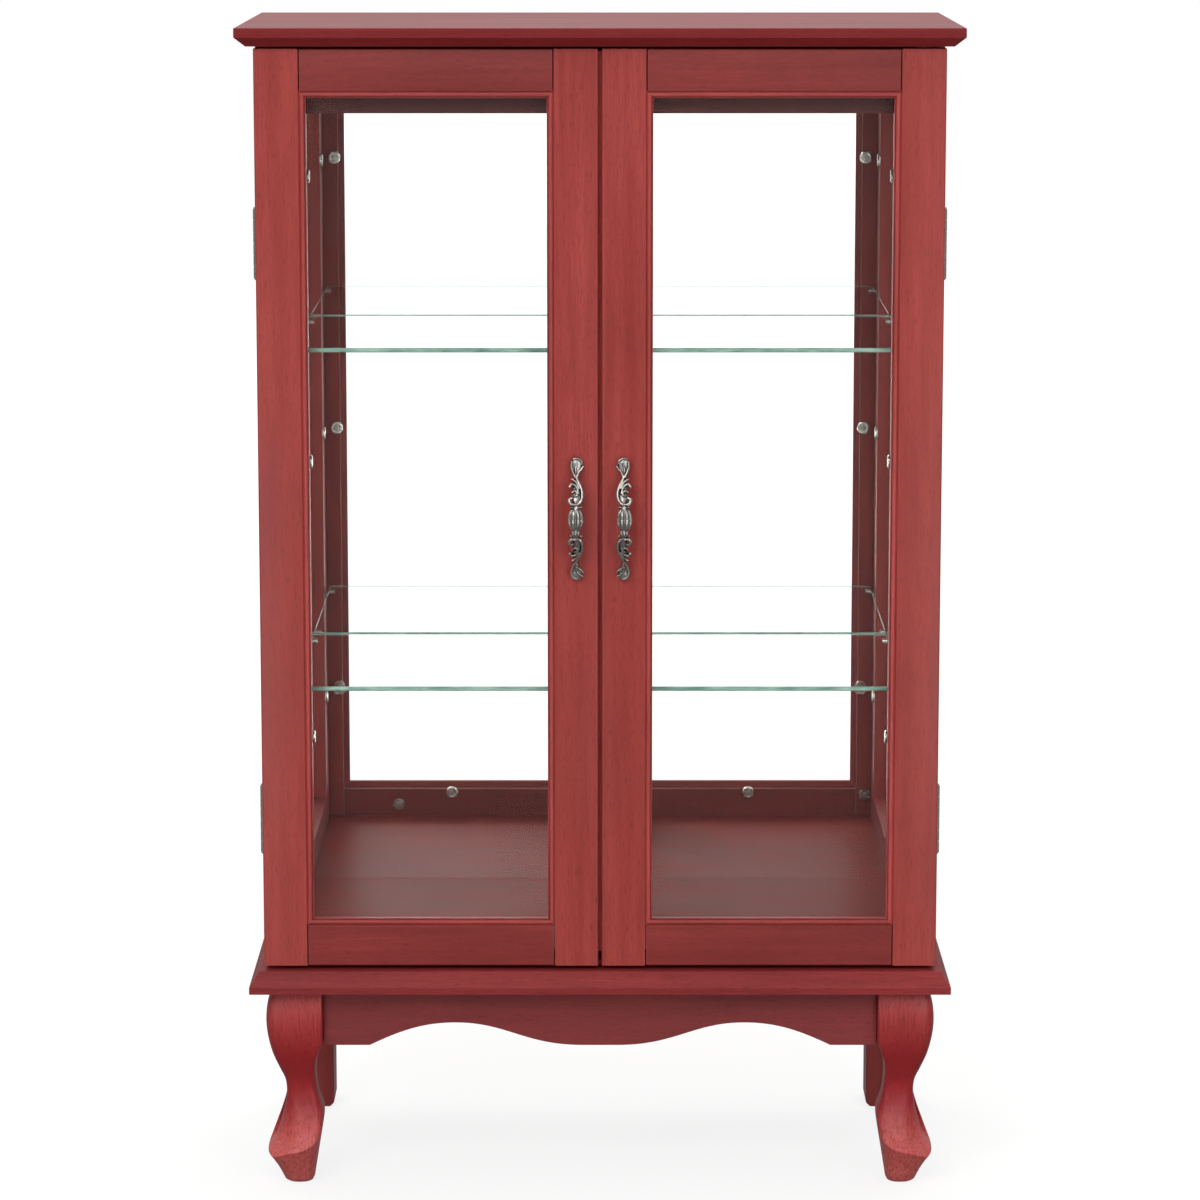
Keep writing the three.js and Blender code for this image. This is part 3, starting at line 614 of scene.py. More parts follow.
def build_side(word, side):
    width = BACK_Y - CARCASS_FRONT_Y
    rear_first = side < 0
    start = SIDE_STILE_REAR if rear_first else STILE_FLAT
    end = STILE_FLAT if rear_first else SIDE_STILE_REAR
    flats = (start, end, SIDE_RAIL_BOTTOM, SIDE_RAIL_TOP)
    made = frame_pieces(width, BASE_TOP_Z + GAP, TOP_BOTTOM_Z - GAP, flats, SIDE_THICKNESS)
    names = {"start": "rear_stile", "end": "front_stile"} if rear_first else {"start": "front_stile",
        "end": "rear_stile"}
    names.update(bottom="bottom_rail", top="top_rail")
    for key, shape in made.items():
        upright = key in ("start", "end")
        if rear_first:
            shape.moved(lambda a, v, z: (-BODY_HALF_WIDTH + v, BACK_Y - a, z))
        else:
            shape.moved(lambda a, v, z: (BODY_HALF_WIDTH - v, CARCASS_FRONT_Y + a, z))
        mats = [MAT["stile"], MAT["bead"]] if upright else [MAT["side_rail"], MAT["side_rail"]]
        name = word + "_side_" + names[key]
        obj = shape.piece(name + "_look", mats)
        eased(obj, 0.35, 2)
        dress(obj, "carcass", name)


# ---------------------------------------------------------------- top, base and aprons
def edged_slab(half, front, profile):
    """A board whose front and ends carry one edge profile of (inset, z) points, its back plain."""
    rings = []
    for inset, z in profile:
        x = half - inset
        rings.append([(-x, BACK_Y, z), (x, BACK_Y, z), (x, front + inset, z), (-x, front + inset, z)])
    return rings_to_part(rings)


def build_boards():
    top = Shape().add(
        *edged_slab(
            TOP_HALF_WIDTH,
            TOP_FRONT_Y,
            [(9.5, 1029.6), (0.9, 1037.0), (0.25, 1037.5), (0, 1038.2), (0, 1045.2), (0.25, 1045.75),
                (0.8, 1046.0)],
        )
    )
    obj = top.piece("top_board_look", [MAT["top"]], 20.0)
    dress(obj, "carcass", "top_board")
    base = Shape().add(
        *edged_slab(
            BASE_HALF_WIDTH,
            BASE_FRONT_Y,
            [(0.6, 184.0), (0, 184.6), (0, 190.4), (0.3, 191.1), (8.2, 203.0), (8.6, 203.4), (9.2,
                203.6)],
        )
    )
    obj = base.piece("base_board_look", [MAT["base"]], 20.0)
    dress(obj, "carcass", "base_board")


def cubic(ends, steps):
    """Points after the first on the cubic curve through four (along, z) control points."""
    points = []
    for i in range(1, steps + 1):
        t = i / steps
        s = 1 - t
        weights = (s**3, 3 * s * s * t, 3 * s * t * t, t**3)
        points.append(tuple(sum(w * p[k] for w, p in zip(weights, ends)) for k in (0, 1)))
    return points


def apron_edge(flat_end, middle, peak, steps=26):
    """Half of a scalloped lower edge from the outer flat to the centre, as (along, z) points."""
    low, high = APRON_LOW_Z, APRON_ARCH_Z
    rise, fall = flat_end - peak, peak - middle
    shoulder = (flat_end - 0.38 * rise, low + 0.69 * (high - low))
    outer = cubic(((flat_end, low), shoulder, (peak + 0.36 * rise, high), (peak, high)), steps)
    ends = ((peak, high), (peak - 0.4 * fall, high), (middle + 0.46 * fall, low), (middle, low))
    inner = cubic(ends, steps)
    return [(flat_end, low)] + outer + inner


def apron_outline(half, edge):
    """The whole outline: flat top, flat ends and the scalloped lower edge, mirrored about 0."""
    top = LEG_TOP_Z - GAP
    right = [(half, top), (half, APRON_LOW_Z)] + edge
    left = [(-x, z) for x, z in reversed(right)]
    merged = right + (left[1:] if abs(edge[-1][0]) < 1e-6 else left)
    return merged


def build_aprons():
    half = 250.2 - GAP
    outline = apron_outline(half, apron_edge(208.0, 16.0, 130.0))
    shape = Shape().add(*prism(outline, -124.0, -106.0, "y"))
    obj = eased(shape.piece("front_apron_look", [MAT["apron"]]), 0.7)
    dress(obj, "carcass", "front_apron")
    front, back = DOOR_FRONT_Y + 51.2 + GAP, BACK_Y - 46.0 - GAP
    half, centre = (back - front) / 2, (front + back) / 2
    low, high, end = APRON_LOW_Z, APRON_ARCH_Z, half - 22
    shoulder = (0.62 * end, low + 0.69 * (high - low))
    edge = [(end, low)] + cubic(((end, low), shoulder, (0.36 * end, high), (0.0, high)), 40)
    outline = [(y + centre, z) for y, z in apron_outline(half, edge)]
    for word, side in SIDES.items():
        outer, inner = side * 292.0, side * 274.0
        shape = Shape().add(*prism(outline, min(outer, inner), max(outer, inner), "x"))
        obj = eased(shape.piece(word + "_apron_look", [MAT["side_apron"]]), 0.7)
        dress(obj, "carcass", word + "_apron")
    half = REAR_LEG_OUTER - REAR_LEG_SIZE - GAP
    shape = Shape().add(*board(-half, half, 132.0, 150.0, APRON_LOW_Z, LEG_TOP_Z - GAP))
    obj = eased(shape.piece("rear_apron_look", [MAT["apron"]]), 0.9)
    dress(obj, "carcass", "rear_apron")


# ---------------------------------------------------------------- legs
OUTER_EDGE = [
    (0.0, 15.8), (4.4, 13.8), (16.6, 8.6), (27.6, 2.9), (32.8, 0.0), (35.0, 0.7), (41.0, 3.0), (53.0,
        7.4),
    (66.5, 12.2), (78.5, 15.6), (87.4, 16.8), (97.0, 15.6), (108.7, 10.8), (123.2, 5.2), (139.7,
        1.3), (155.7, 0.0),
    (170.7, 1.4), (183.7, 5.1),
]
INNER_EDGE = [
    (0.0, 41.0), (21.0, 44.4), (40.0, 47.5), (56.5, 50.2), (63.0, 50.9), (69.0, 50.2), (75.0,
        47.8), (85.6, 45.2),
    (96.2, 44.0), (106.0, 43.7), (115.8, 44.8), (124.6, 47.5), (133.5, 51.0), (137.0, 51.2), (183.7,
        51.2),
]


def smooth_step(t):
    t = max(0.0, min(1.0, t))
    return t * t * (3 - 2 * t)


def smooth_value(table, z):
    """Catmull-Rom through (z, value) rows."""
    rows = table
    if z <= rows[0][0]:
        return rows[0][1]
    if z >= rows[-1][0]:
        return rows[-1][1]
    k = next(i for i in range(len(rows) - 1) if rows[i + 1][0] >= z)
    z1, v1 = rows[k]
    z2, v2 = rows[k + 1]
    z0, v0 = rows[max(0, k - 1)]
    z3, v3 = rows[min(len(rows) - 1, k + 2)]
    h = z2 - z1
    m1 = (v2 - v0) / (z2 - z0) * h
    m2 = (v3 - v1) / (z3 - z1) * h
    t = (z - z1) / h
    return (
        (2 * t**3 - 3 * t**2 + 1) * v1
        + (t**3 - 2 * t**2 + t) * m1
        + (-2 * t**3 + 3 * t**2) * v2
        + (t**3 - t**2) * m2
    )


def crease_height(turn):
    """Height of the foot's crease at an angle from the toe, in quarter turns of 0 to 2."""
    if turn < 1:
        return 27.5 + 13.5 * turn**1.35
    return 41.0 + 17.0 * math.sin(math.pi / 2 * (turn - 1))


def scoop(turn):
    """Share of the foot's hollow at a signed angle from the toe: sharp outside, soft inside."""
    if turn < 0:
        return 0.0 if turn < -0.62 else 0.55 + 0.45 * (turn + 0.62) / 0.62
    return max(0.0, math.cos(min(1.0, turn / 0.95) * math.pi / 2)) ** 1.3


def leg_ring(outer, inner, squareness, height, hollow=0.0, crisp=1.0):
    """One ring round the leg: offsets from the block's outer faces, rounded by a superellipse."""
    count = 112
    ring = []
    centre, half = (outer + inner) / 2, (inner - outer) / 2
    for i in range(count):
        angle = 2 * math.pi * i / count
        c, s = math.cos(angle), math.sin(angle)
        power = 2 / (squareness * (crisp if c > 0 or s > 0 else 1.0))
        x = math.copysign(abs(c) ** power, c)
        y = math.copysign(abs(s) ** power, s)
        signed = ((math.degrees(angle) - 225 + 180) % 360 - 180) / 90
        pull = hollow * scoop(signed) * 0.7071
        ring.append((centre + half * x + pull, centre + half * y + pull, height(abs(signed))))
    return ring


def leg_shape():
    """A cabriole leg in offsets from the block's outer faces: toe at (0, 0), Z up."""
    ankle = 92.0
    side_low, heel_low = crease_height(0.5), crease_height(1.5)
    rings = []
    inset = 2.6
    rings.append(leg_ring(OUTER_EDGE[0][1] + inset, INNER_EDGE[0][1] - inset, 2.5, lambda a: 0.0))
    rings.append(leg_ring(OUTER_EDGE[0][1] + 0.9, INNER_EDGE[0][1] - 0.9, 2.5, lambda a: 0.9))
    pad_steps = 14
    for k in range(pad_steps + 1):
        t = k / pad_steps
        rise = 0.085 + 0.915 * t
        outer = smooth_value(OUTER_EDGE, side_low * rise)
        inner = smooth_value(INNER_EDGE, heel_low * rise)
        rings.append(leg_ring(outer, inner, 2.5 + 0.4 * t, lambda a, r=rise: r * crease_height(a)))
    steps = 30
    for k in range(1, steps + 1):
        t = k / steps
        outer = smooth_value(OUTER_EDGE, side_low + (ankle - side_low) * t)
        inner = smooth_value(INNER_EDGE, heel_low + (ankle - heel_low) * t)
        hollow = FOOT_HOLLOW * min(1.0, 5.5 * t) * (1.0 - smooth_step((t - 0.25) / 0.75))
        height = lambda a, t=t: crease_height(a) + (ankle - crease_height(a)) * t
        rings.append(leg_ring(outer, inner, 2.9 + 1.4 * t, height, hollow))
    steps = 40
    top = LEG_TOP_Z - GAP
    for k in range(1, steps + 1):
        t = k / steps
        z = ankle + (top - ankle) * t
        outer = smooth_value(OUTER_EDGE, z)
        inner = smooth_value(INNER_EDGE, z)
        rings.append(leg_ring(outer, inner, 4.3 + 2.2 * t, lambda a, z=z: z, 0.0, 1.0 + 2.6 * min(1.0,
            t * 1.6)))
    return rings_to_part(rings)


def build_legs():
    verts, faces = leg_shape()
    for word, side in SIDES.items():
        placed = [(side * (KNEE_OUTER - a), DOOR_FRONT_Y + b, z) for a, b, z in verts]
        shape = Shape().add(placed, outward(placed, faces))
        obj = shape.piece(word + "_front_leg_look", [MAT["leg"]], 26.0)
        dress(obj, "carcass", word + "_front_leg")
        outer, inner = side * REAR_LEG_OUTER, side * (REAR_LEG_OUTER - REAR_LEG_SIZE)
        chamfer = 4.0
        outline = [
            (outer, LEG_TOP_Z - GAP),
            (inner, LEG_TOP_Z - GAP),
            (inner, chamfer),
            (inner + side * chamfer, 0),
            (outer - side * chamfer * 0.5, 0),
            (outer, chamfer * 0.5),
        ]
        shape = Shape().add(*prism(outline, BACK_Y - 46.0, BACK_Y - 2.0, "y"))
        obj = eased(shape.piece(word + "_rear_leg_look", [MAT["rear_leg"]]), 1.2)
        dress(obj, "carcass", word + "_rear_leg")


# ---------------------------------------------------------------- hinges, pins, clips and screws
def screw_head(radius=3.0, slot_width=0.7):
    """A countersunk screw head with a cross recess, its face at z = 0 facing up."""
    profile = [(0, -1.6), (radius * 0.45, -1.6), (radius * 0.96, -0.15), (radius, 0.0), (radius * 0.8,
        0.16), (0, 0.22)]
    part = Shape().add(*lathe(profile, 24))
    reach = radius * 0.55
    for turn in (0, 90):
        bar = board(-reach, reach, -slot_width / 2, slot_width / 2, 0.05, 0.26)
        part.add(*turned(bar, "Z", turn + 20), 1)
    return part


def knuckle(low, high):
    edge = 0.25
    return lathe(
        [
            (0, low),
            (KNUCKLE_RADIUS - edge, low),
            (KNUCKLE_RADIUS, low + edge),
            (KNUCKLE_RADIUS, high - edge),
            (KNUCKLE_RADIUS - edge, high),
            (0, high),
        ],
        28,
    )


def build_hinges():
    pitch = HINGE_HEIGHT / KNUCKLES
    screw = screw_head()
    for word, side in SIDES.items():
        for level, centre in HINGE_CENTRES_Z.items():
            name = word + "_" + level + "_hinge"
            for kind, back, odd, body in (("door_leaf", False, False, word + "_door"), ("frame_leaf",
                    True, True, "carcass")):
                near = LEAF_GAP / 2
                y0 = near if back else -near - LEAF_THICKNESS
                y1 = y0 + LEAF_THICKNESS
                inner, outer = -side * 1.7, -side * (LEAF_WIDTH + 1.7)
                plate = rounded_rect(min(inner, outer), max(inner, outer), -HINGE_HEIGHT / 2 + 0.3,
                    HINGE_HEIGHT / 2 - 0.3, 1.2)
                shape = Shape().add(*prism(plate, y0, y1, "y"))
                for i in range(KNUCKLES):
                    low = -HINGE_HEIGHT / 2 + i * pitch
                    mine = (i % 2 == 1) == odd
                    if mine:
                        shape.add(*knuckle(low + 0.12, low + pitch - 0.12))
                for z in (-20.0, 0.0, 20.0):
                    x = -side * (15.0 if z == 0 else 9.0)
                    face = y0 if back else y1
                    head = turned((screw.verts, screw.faces), "X", 90 if back else -90)
                    shape.add(*shifted(head, x, face, z), 1)
                shape.moved(lambda x, y, z: (x + side * HINGE_X, y + HINGE_Y, z + centre))
                obj = shape.piece(name + "_" + kind + "_look", [MAT["nickel"], MAT["screw"]])
                dress(obj, body, name + "_" + kind)
            half = HINGE_HEIGHT / 2
            profile = [(0, -half - 1.6), (1.2, -half - 1.55), (2.0, -half - 1.1), (2.3, -half - 0.5),
                (2.3, -half - 0.1)]
            profile += [(2.3, half + 0.1), (2.3, half + 0.5), (2.0, half + 1.1), (1.2, half + 1.55), (0,
                half + 1.6)]
            pin = Shape().add(*shifted(lathe(profile, 24), side * HINGE_X, HINGE_Y, centre))
            dress(pin.piece(name + "_pin_look", [MAT["nickel"]]), "carcass", name + "_pin")


def build_pins():
    for level, top in SHELF_TOPS.items():
        for word, side in SIDES.items():
            for place, y in PIN_ROWS.items():
                profile = [
                    (0, 0.2), (2.3, 0.2), (2.5, 0.5), (2.5, 8.6), (3.7, 8.8), (3.9, 9.1), (3.9,
                        9.7), (3.6, 10.0),
                    (2.5, 10.1), (2.5, 17.2), (2.1, 17.9), (0, 18.0),
                ]
                part = turned(lathe(profile, 24), "Y", -side * 90)
                x = side * (INNER_HALF_WIDTH + 8.5)
                z = top - SHELF_THICKNESS - GAP - PIN_RADIUS
                shape = Shape().add(*shifted(part, x, y, z))
                name = "_".join([level, "shelf_pin", word, place])
                dress(shape.piece(name + "_look", [MAT["nickel"]]), "carcass", name)


def clip_part():
    """A round glass retainer: a pressed cap on a rim, with its screw, facing +Z from z = 0."""
    shape = Shape()
    shape.add(*lathe([(0, 0), (6.2, 0), (6.4, 0.5), (6.4, 1.5), (5.9, 2.3), (4.6, 2.7), (3.4, 2.4), (3.2,
        1.9), (0, 1.9)], 36), 0)
    head = screw_head(2.9)
    moved = [(x, y, z + 2.1) for x, y, z in head.verts]
    shape.add(moved, head.faces, 1)
    return shape


def place_clip(name, body, at, facing):
    """One clip at a point, facing along an axis."""
    turn = {"+y": ("X", -90), "-x": ("Y", -90), "+x": ("Y", 90)}[facing]
    clip = clip_part()
    part = turned((clip.verts, clip.faces), *turn)
    shape = Shape().add(*shifted(part, *at))
    shape.slots = clip.slots
    dress(shape.piece(name, [MAT["nickel"], MAT["screw"]]), body)


def build_clips():
    for word, side in SIDES.items():
        body = word + "_door"
        edge = STILE_FLAT - CLIP_OVERHANG
        spots = {}
        for i, z in enumerate(CLIP_HEIGHTS):
            spots["outer_%d" % i] = (side * (BODY_HALF_WIDTH - edge), z)
            spots["inner_%d" % i] = (side * (1.5 + edge), z)
        middle = side * (1.5 + DOOR_WIDTH / 2)
        spots["bottom"] = (middle, DOOR_BOTTOM_Z + RAIL_FLAT - CLIP_OVERHANG)
        spots["top"] = (middle, DOOR_TOP_Z - RAIL_FLAT + CLIP_OVERHANG)
        for key, (x, z) in spots.items():
            place_clip(word + "_door_clip_" + key, body, (x, DOOR_BACK_Y, z), "+y")
        inner_face = side * INNER_HALF_WIDTH
        for i, z in enumerate(CLIP_HEIGHTS):
            for key, y in (("front", CARCASS_FRONT_Y + edge), ("rear",
                    BACK_Y - SIDE_STILE_REAR + CLIP_OVERHANG)):
                name = "%s_side_clip_%s_%d" % (word, key, i)
                place_clip(name, "carcass", (inner_face, y, z), "-x" if side > 0 else "+x")
    for word, side in SIDES.items():
        x, z = CATCH_SPOTS[word]
        shape = Shape()
        shape.add(*lathe([(0, 0.1), (5.8, 0.1), (6.0, 0.4), (6.0, 1.1), (5.6, 1.5), (4.2, 1.6), (3.9,
            1.2), (0, 1.2)], 36), 0)
        head = screw_head(2.7)
        shape.add([(a, b, c + 1.25) for a, b, c in head.verts], head.faces, 1)
        slots = list(shape.slots)
        part = turned((shape.verts, shape.faces), "X", -90)
        placed = Shape().add(*shifted(part, x, DOOR_BACK_Y, z))
        placed.slots = slots
        obj = placed.piece(word + "_catch_plate_look", [MAT["nickel"], MAT["screw"]])
        dress(obj, word + "_door", word + "_catch_plate")


# ---------------------------------------------------------------- pulls
def tube(points, radii, flatten=1.0, segments=12, steps=8):
    """A round stroke through points of (x, y, z) with a radius at each, its ends rounded."""
    path, sizes = [], []
    count = len(points)
    for k in range(count - 1):
        p0 = Vector(points[max(0, k - 1)])
        p1 = Vector(points[k])
        p2 = Vector(points[k + 1])
        p3 = Vector(points[min(count - 1, k + 2)])
        for i in range(steps):
            t = i / steps
            path.append(
                0.5
                * (
                    (2 * p1)
                    + (p2 - p0) * t
                    + (2 * p0 - 5 * p1 + 4 * p2 - p3) * t * t
                    + (3 * p1 - p0 - 3 * p2 + p3) * t**3
                )
            )
            sizes.append(radii[k] + (radii[k + 1] - radii[k]) * t)
    path.append(Vector(points[-1]))
    sizes.append(radii[-1])
    rings = []

    def ring_at(centre, forward, radius):
        side = forward.cross(Vector((0, 1, 0)))
        side = side.normalized() if side.length > 1e-6 else Vector((1, 0, 0))
        up = side.cross(forward).normalized()
        ring = []
        for i in range(segments):
            angle = 2 * math.pi * i / segments
            ring.append(centre + side * math.cos(angle) * radius + up * math.sin(angle) * radius * flatten)
        return ring

    first = (path[1] - path[0]).normalized()
    last = (path[-1] - path[-2]).normalized()
    for angle in (80, 50, 25):
        a = math.radians(angle)
        rings.append(ring_at(path[0] - first * math.sin(a) * sizes[0], first, math.cos(a) * sizes[0]))
    for k, centre in enumerate(path):
        forward = (path[min(k + 1, len(path) - 1)] - path[max(k - 1, 0)]).normalized()
        rings.append(ring_at(centre, forward, sizes[k]))
    for angle in (25, 50, 80):
        a = math.radians(angle)
        rings.append(ring_at(path[-1] + last * math.sin(a) * sizes[-1], last, math.cos(a) * sizes[-1]))
    verts, faces = rings_to_part([[tuple(p) for p in ring] for ring in rings])
    return verts, faces


def blob(centre, size, flutes=0, depth=0.0, rows=22, segments=40, power=1.0):
    """An ellipsoid about z, fluted if asked."""
    rings = []
    cx, cy, cz = centre
    sx, sy, sz = size
    for r in range(1, rows):
        angle = math.pi * r / rows
        h = math.cos(angle)
        w = math.sin(angle) ** power
        ring = []
        for i in range(segments):
            a = 2 * math.pi * i / segments
            groove = 1.0 - depth * (0.5 + 0.5 * math.cos(flutes * a)) ** 2 * min(1.0,
                w * 1.4) if flutes else 1.0
            ring.append((cx + sx * w * math.cos(a) * groove, cy + sy * w * math.sin(a) * groove,
                cz + sz * h))
        rings.append(ring)
    return rings_to_part(rings)


def handle_depth(z):
    """How far the pull's centre line stands off the door at a height."""
    table = [(0.0, 17.3), (12.0, 17.2), (18.0, 15.6), (26.0, 12.0), (34.0, 8.8), (40.0, 6.6), (47.0,
        4.6), (56.0, 3.8)]
    return -smooth_value(table, abs(z))


def stroke(points, radii, lift=0.0, flatten=1.0):
    """A scroll drawn in the pull's front view as (x, z) points, laid on its bowed centre line."""
    return tube([(x, handle_depth(z) - lift, z) for x, z in points], radii, flatten)


def core(rows, steps=6):
    """A solid body through rows of (z, left, right, half depth), its ends rounded, on the bowed line."""
    dense = []
    for k in range(len(rows) - 1):
        for i in range(steps):
            z = rows[k][0] + (rows[k + 1][0] - rows[k][0]) * i / steps
            dense.append(z)
    dense.append(rows[-1][0])
    ordered = sorted(rows)
    columns = [[(r[0], r[c]) for r in ordered] for c in (1, 2, 3)]
    rings = []
    for z in dense:
        left, right, deep = (smooth_value(column, z) for column in columns)
        cx, w = (left + right) / 2, (right - left) / 2
        ring = []
        for i in range(28):
            a = 2 * math.pi * i / 28
            ring.append((cx + w * math.cos(a), handle_depth(z) + deep * math.sin(a), z))
        rings.append(ring)
    return rings_to_part(rings)


def handle_parts():
    """The left pull: its spine lies toward +X, its scrolls open toward -X."""
    parts = []
    # upper leaf
    leaf = [(55.2, -0.9, 1.5, 0.6), (53.6, -3.6, 4.0, 1.6), (50.4, -5.0, 5.2, 2.3), (46.6, -4.8, 5.0,
        2.4)]
    leaf += [(42.6, -3.3, 2.8, 2.2), (39.2, -2.3, 1.7, 1.9), (36.6, -1.8, 1.6, 1.7)]
    parts.append(core(leaf))
    strokes = [
        ([(-4.0, 51.5), (-4.4, 47.0), (-3.0, 42.6), (-1.0, 38.0)], [0.9, 1.1, 1.0, 0.9], 1.9),
        ([(-2.8, 53.6), (0.6, 54.2), (4.0, 52.2), (4.9, 49.4)], [0.9, 1.0, 1.0, 0.8], 1.5),
        ([(6.0, 47.4), (4.6, 45.2), (2.2, 42.8), (0.8, 38.6)], [0.9, 1.1, 1.1, 0.9], 1.7),
        ([(0.6, 50.0), (-0.6, 46.0), (-0.4, 42.0)], [0.5, 0.8, 0.7], 2.5),
    ]
    parts += [stroke(*row) for row in strokes]
    # upper stem and scrolls
    stem = [(38.2, -1.7, 1.6, 1.6), (34.6, -2.4, 2.6, 1.7), (30.0, -3.4, 3.8, 1.7), (25.0, -3.6, 4.6,
        1.7)]
    stem += [(20.0, -3.8, 4.4, 1.8), (16.0, -2.8, 2.8, 2.0), (13.4, -1.8, 1.8, 2.0)]
    parts.append(core(stem))
    spine = [(-0.6, 39.4), (1.0, 35.6), (3.4, 31.4), (4.9, 26.8), (5.2, 22.4), (4.0, 18.2), (1.2, 15.4)]
    parts.append(stroke(spine, [1.2, 1.35, 1.45, 1.5, 1.55, 1.6, 1.5], 1.3))
    strokes = [
        ([(1.2, 15.4), (-2.8, 15.0), (-5.6, 17.0), (-5.8, 19.8), (-3.6, 20.8)], [1.5, 1.6, 1.6, 1.5,
            1.2], 1.6),
        ([(-4.3, 36.6), (-2.2, 35.6), (0.6, 32.8), (2.6, 28.8)], [0.8, 1.0, 1.0, 0.9], 2.0),
        ([(-5.7, 30.2), (-4.2, 32.4), (-1.6, 31.6), (0.6, 28.8), (2.2, 24.4)], [1.5, 1.3, 1.1, 1.0, 0.8],
            2.0),
        ([(-3.6, 25.4), (-1.6, 26.8), (0.6, 25.4), (0.4, 22.8), (-1.4, 22.4)], [0.9, 1.0, 0.95, 0.9,
            0.8], 2.2),
    ]
    parts += [stroke(*row) for row in strokes]
    # collars, melon and small bead
    for z in (12.6, -13.0):
        parts.append(blob((-4.5, handle_depth(z), z), (1.2, 1.2, 1.0), rows=10, segments=14))
        parts.append(blob((4.3, handle_depth(z), z), (1.2, 1.2, 1.0), rows=10, segments=14))
        parts.append(stroke([(-4.0, z), (4.0, z)], [1.1, 1.1]))
    parts.append(blob((-0.6, -17.0, 1.6), (7.1, 6.0, 10.4), flutes=8, depth=0.24, rows=34, segments=80,
        power=0.8))
    parts.append(blob((-0.4, -17.2, -10.4), (3.9, 3.8, 4.4), flutes=6, depth=0.26, rows=18, segments=60))
    strokes = [
        ([(-0.2, 16.4), (-0.4, 9.0)], [2.2, 3.0]),
        ([(-0.4, -9.0), (-0.2, -17.0)], [3.0, 2.2]),
    ]
    parts += [stroke(*row) for row in strokes]
    # lower stem and scrolls
    stem = [(-13.6, -1.8, 1.8, 2.0), (-16.6, -3.0, 3.0, 1.9), (-21.0, -3.4, 4.4, 1.7), (-26.0, -3.6, 4.2,
        1.7)]
    stem += [(-31.0, -3.6, 2.8, 1.6), (-35.6, -2.4, 2.0, 1.6), (-39.0, -1.8, 1.8, 1.7)]
    parts.append(core(stem))
    spine = [(2.6, -16.2), (4.7, -18.8), (5.2, -23.0), (4.2, -28.0), (2.2, -32.4), (0.0, -36.6), (-2.0,
        -40.6)]
    parts.append(stroke(spine, [1.5, 1.55, 1.5, 1.4, 1.3, 1.2, 1.1], 1.3))
    strokes = [
        ([(-1.0, -16.2), (-4.0, -15.8), (-5.9, -18.2), (-4.9, -20.8), (-2.9, -20.4)], [1.3, 1.5, 1.5,
            1.4, 1.1], 1.7),
        ([(-5.7, -29.4), (-4.0, -31.4), (-1.2, -30.8), (1.0, -28.0), (2.4, -24.0)], [1.4, 1.3, 1.1, 1.0,
            0.8], 2.0),
        ([(-4.0, -36.0), (-2.0, -35.0), (0.6, -32.2), (2.4, -28.8)], [0.9, 1.0, 1.0, 0.9], 1.9),
        ([(-3.4, -25.6), (-1.6, -24.0), (0.4, -25.0), (0.2, -27.4), (-1.4, -27.8)], [0.9, 1.0, 0.95, 0.9,
            0.8], 2.2),
    ]
    parts += [stroke(*row) for row in strokes]
    # lower leaf
    leaf = [(-36.6, -1.7, 1.7, 1.7), (-39.6, -2.3, 2.0, 1.9), (-43.0, -3.6, 3.6, 2.2), (-47.0, -4.7, 5.4,
        2.4)]
    leaf += [(-50.4, -4.6, 5.6, 2.3), (-53.0, -3.0, 4.2, 1.6), (-54.6, -0.6, 1.8, 0.6)]
    parts.append(core(leaf))
    strokes = [
        ([(-2.0, -40.0), (-3.9, -44.6), (-4.3, -49.0), (-2.6, -52.4), (0.6, -53.6)], [0.9, 1.05, 1.1,
            1.0, 0.8], 1.8),
        ([(0.6, -39.4), (1.6, -43.2), (4.4, -45.2), (5.9, -47.2)], [0.8, 0.9, 0.9, 0.8], 2.1),
        ([(-0.4, -42.0), (0.4, -46.4), (3.0, -49.4), (5.2, -50.6)], [0.7, 0.9, 0.9, 0.8], 2.3),
    ]
    parts += [stroke(*row) for row in strokes]
    # posts to the door
    for z in (-47.0, 47.0):
        parts.append(shifted(turned(lathe([(0, 0), (3.6, 0), (3.6, 4.0), (0, 4.0)], 20), "X", 90), 0.0,
            0.0, z))
    return parts


def build_handles():
    parts = handle_parts()
    for word, side in SIDES.items():
        shape = Shape()
        for verts, faces in parts:
            placed = [(side * (HANDLE_X - x), y + DOOR_FRONT_Y - GAP, z + HANDLE_Z) for x, y, z in verts]
            shape.add(placed, outward(placed, faces))
        obj = shape.piece(word + "_handle_look", [MAT["silver"]], 180.0)
        fuse = obj.modifiers.new("cast", "REMESH")
        fuse.mode = "VOXEL"
        fuse.voxel_size = 0.3 * MM
        fuse.use_smooth_shade = True
        soften = obj.modifiers.new("soften", "SMOOTH")
        soften.factor = 0.5
        soften.iterations = 2
        dress(obj, word + "_door", word + "_handle")


# ---------------------------------------------------------------- glass, mirror and back
def build_shelves():
    for level, top in SHELF_TOPS.items():
        x, y0, y1 = 273.5, -108.0, 147.0
        ease = 0.7
        low = top - SHELF_THICKNESS
        rings = []
        for inset, z in ((ease, low), (0, low + ease), (0, top - ease), (ease, top)):
            rings.append(rounded_rect(-x + inset, x - inset, y0 + inset, y1 - inset, 3.0, 5))
            rings[-1] = [(a, b, z) for a, b in rings[-1]]
        verts, faces = rings_to_part(rings)
        shape = Shape().add(verts, faces)
        shape.slots = [1] * (len(faces) - 2) + [0, 0]
        obj = shape.piece(level + "_shelf_look", [MAT["shelf"], MAT["shelf_edge"]])
        dress(obj, "carcass", level + "_shelf")


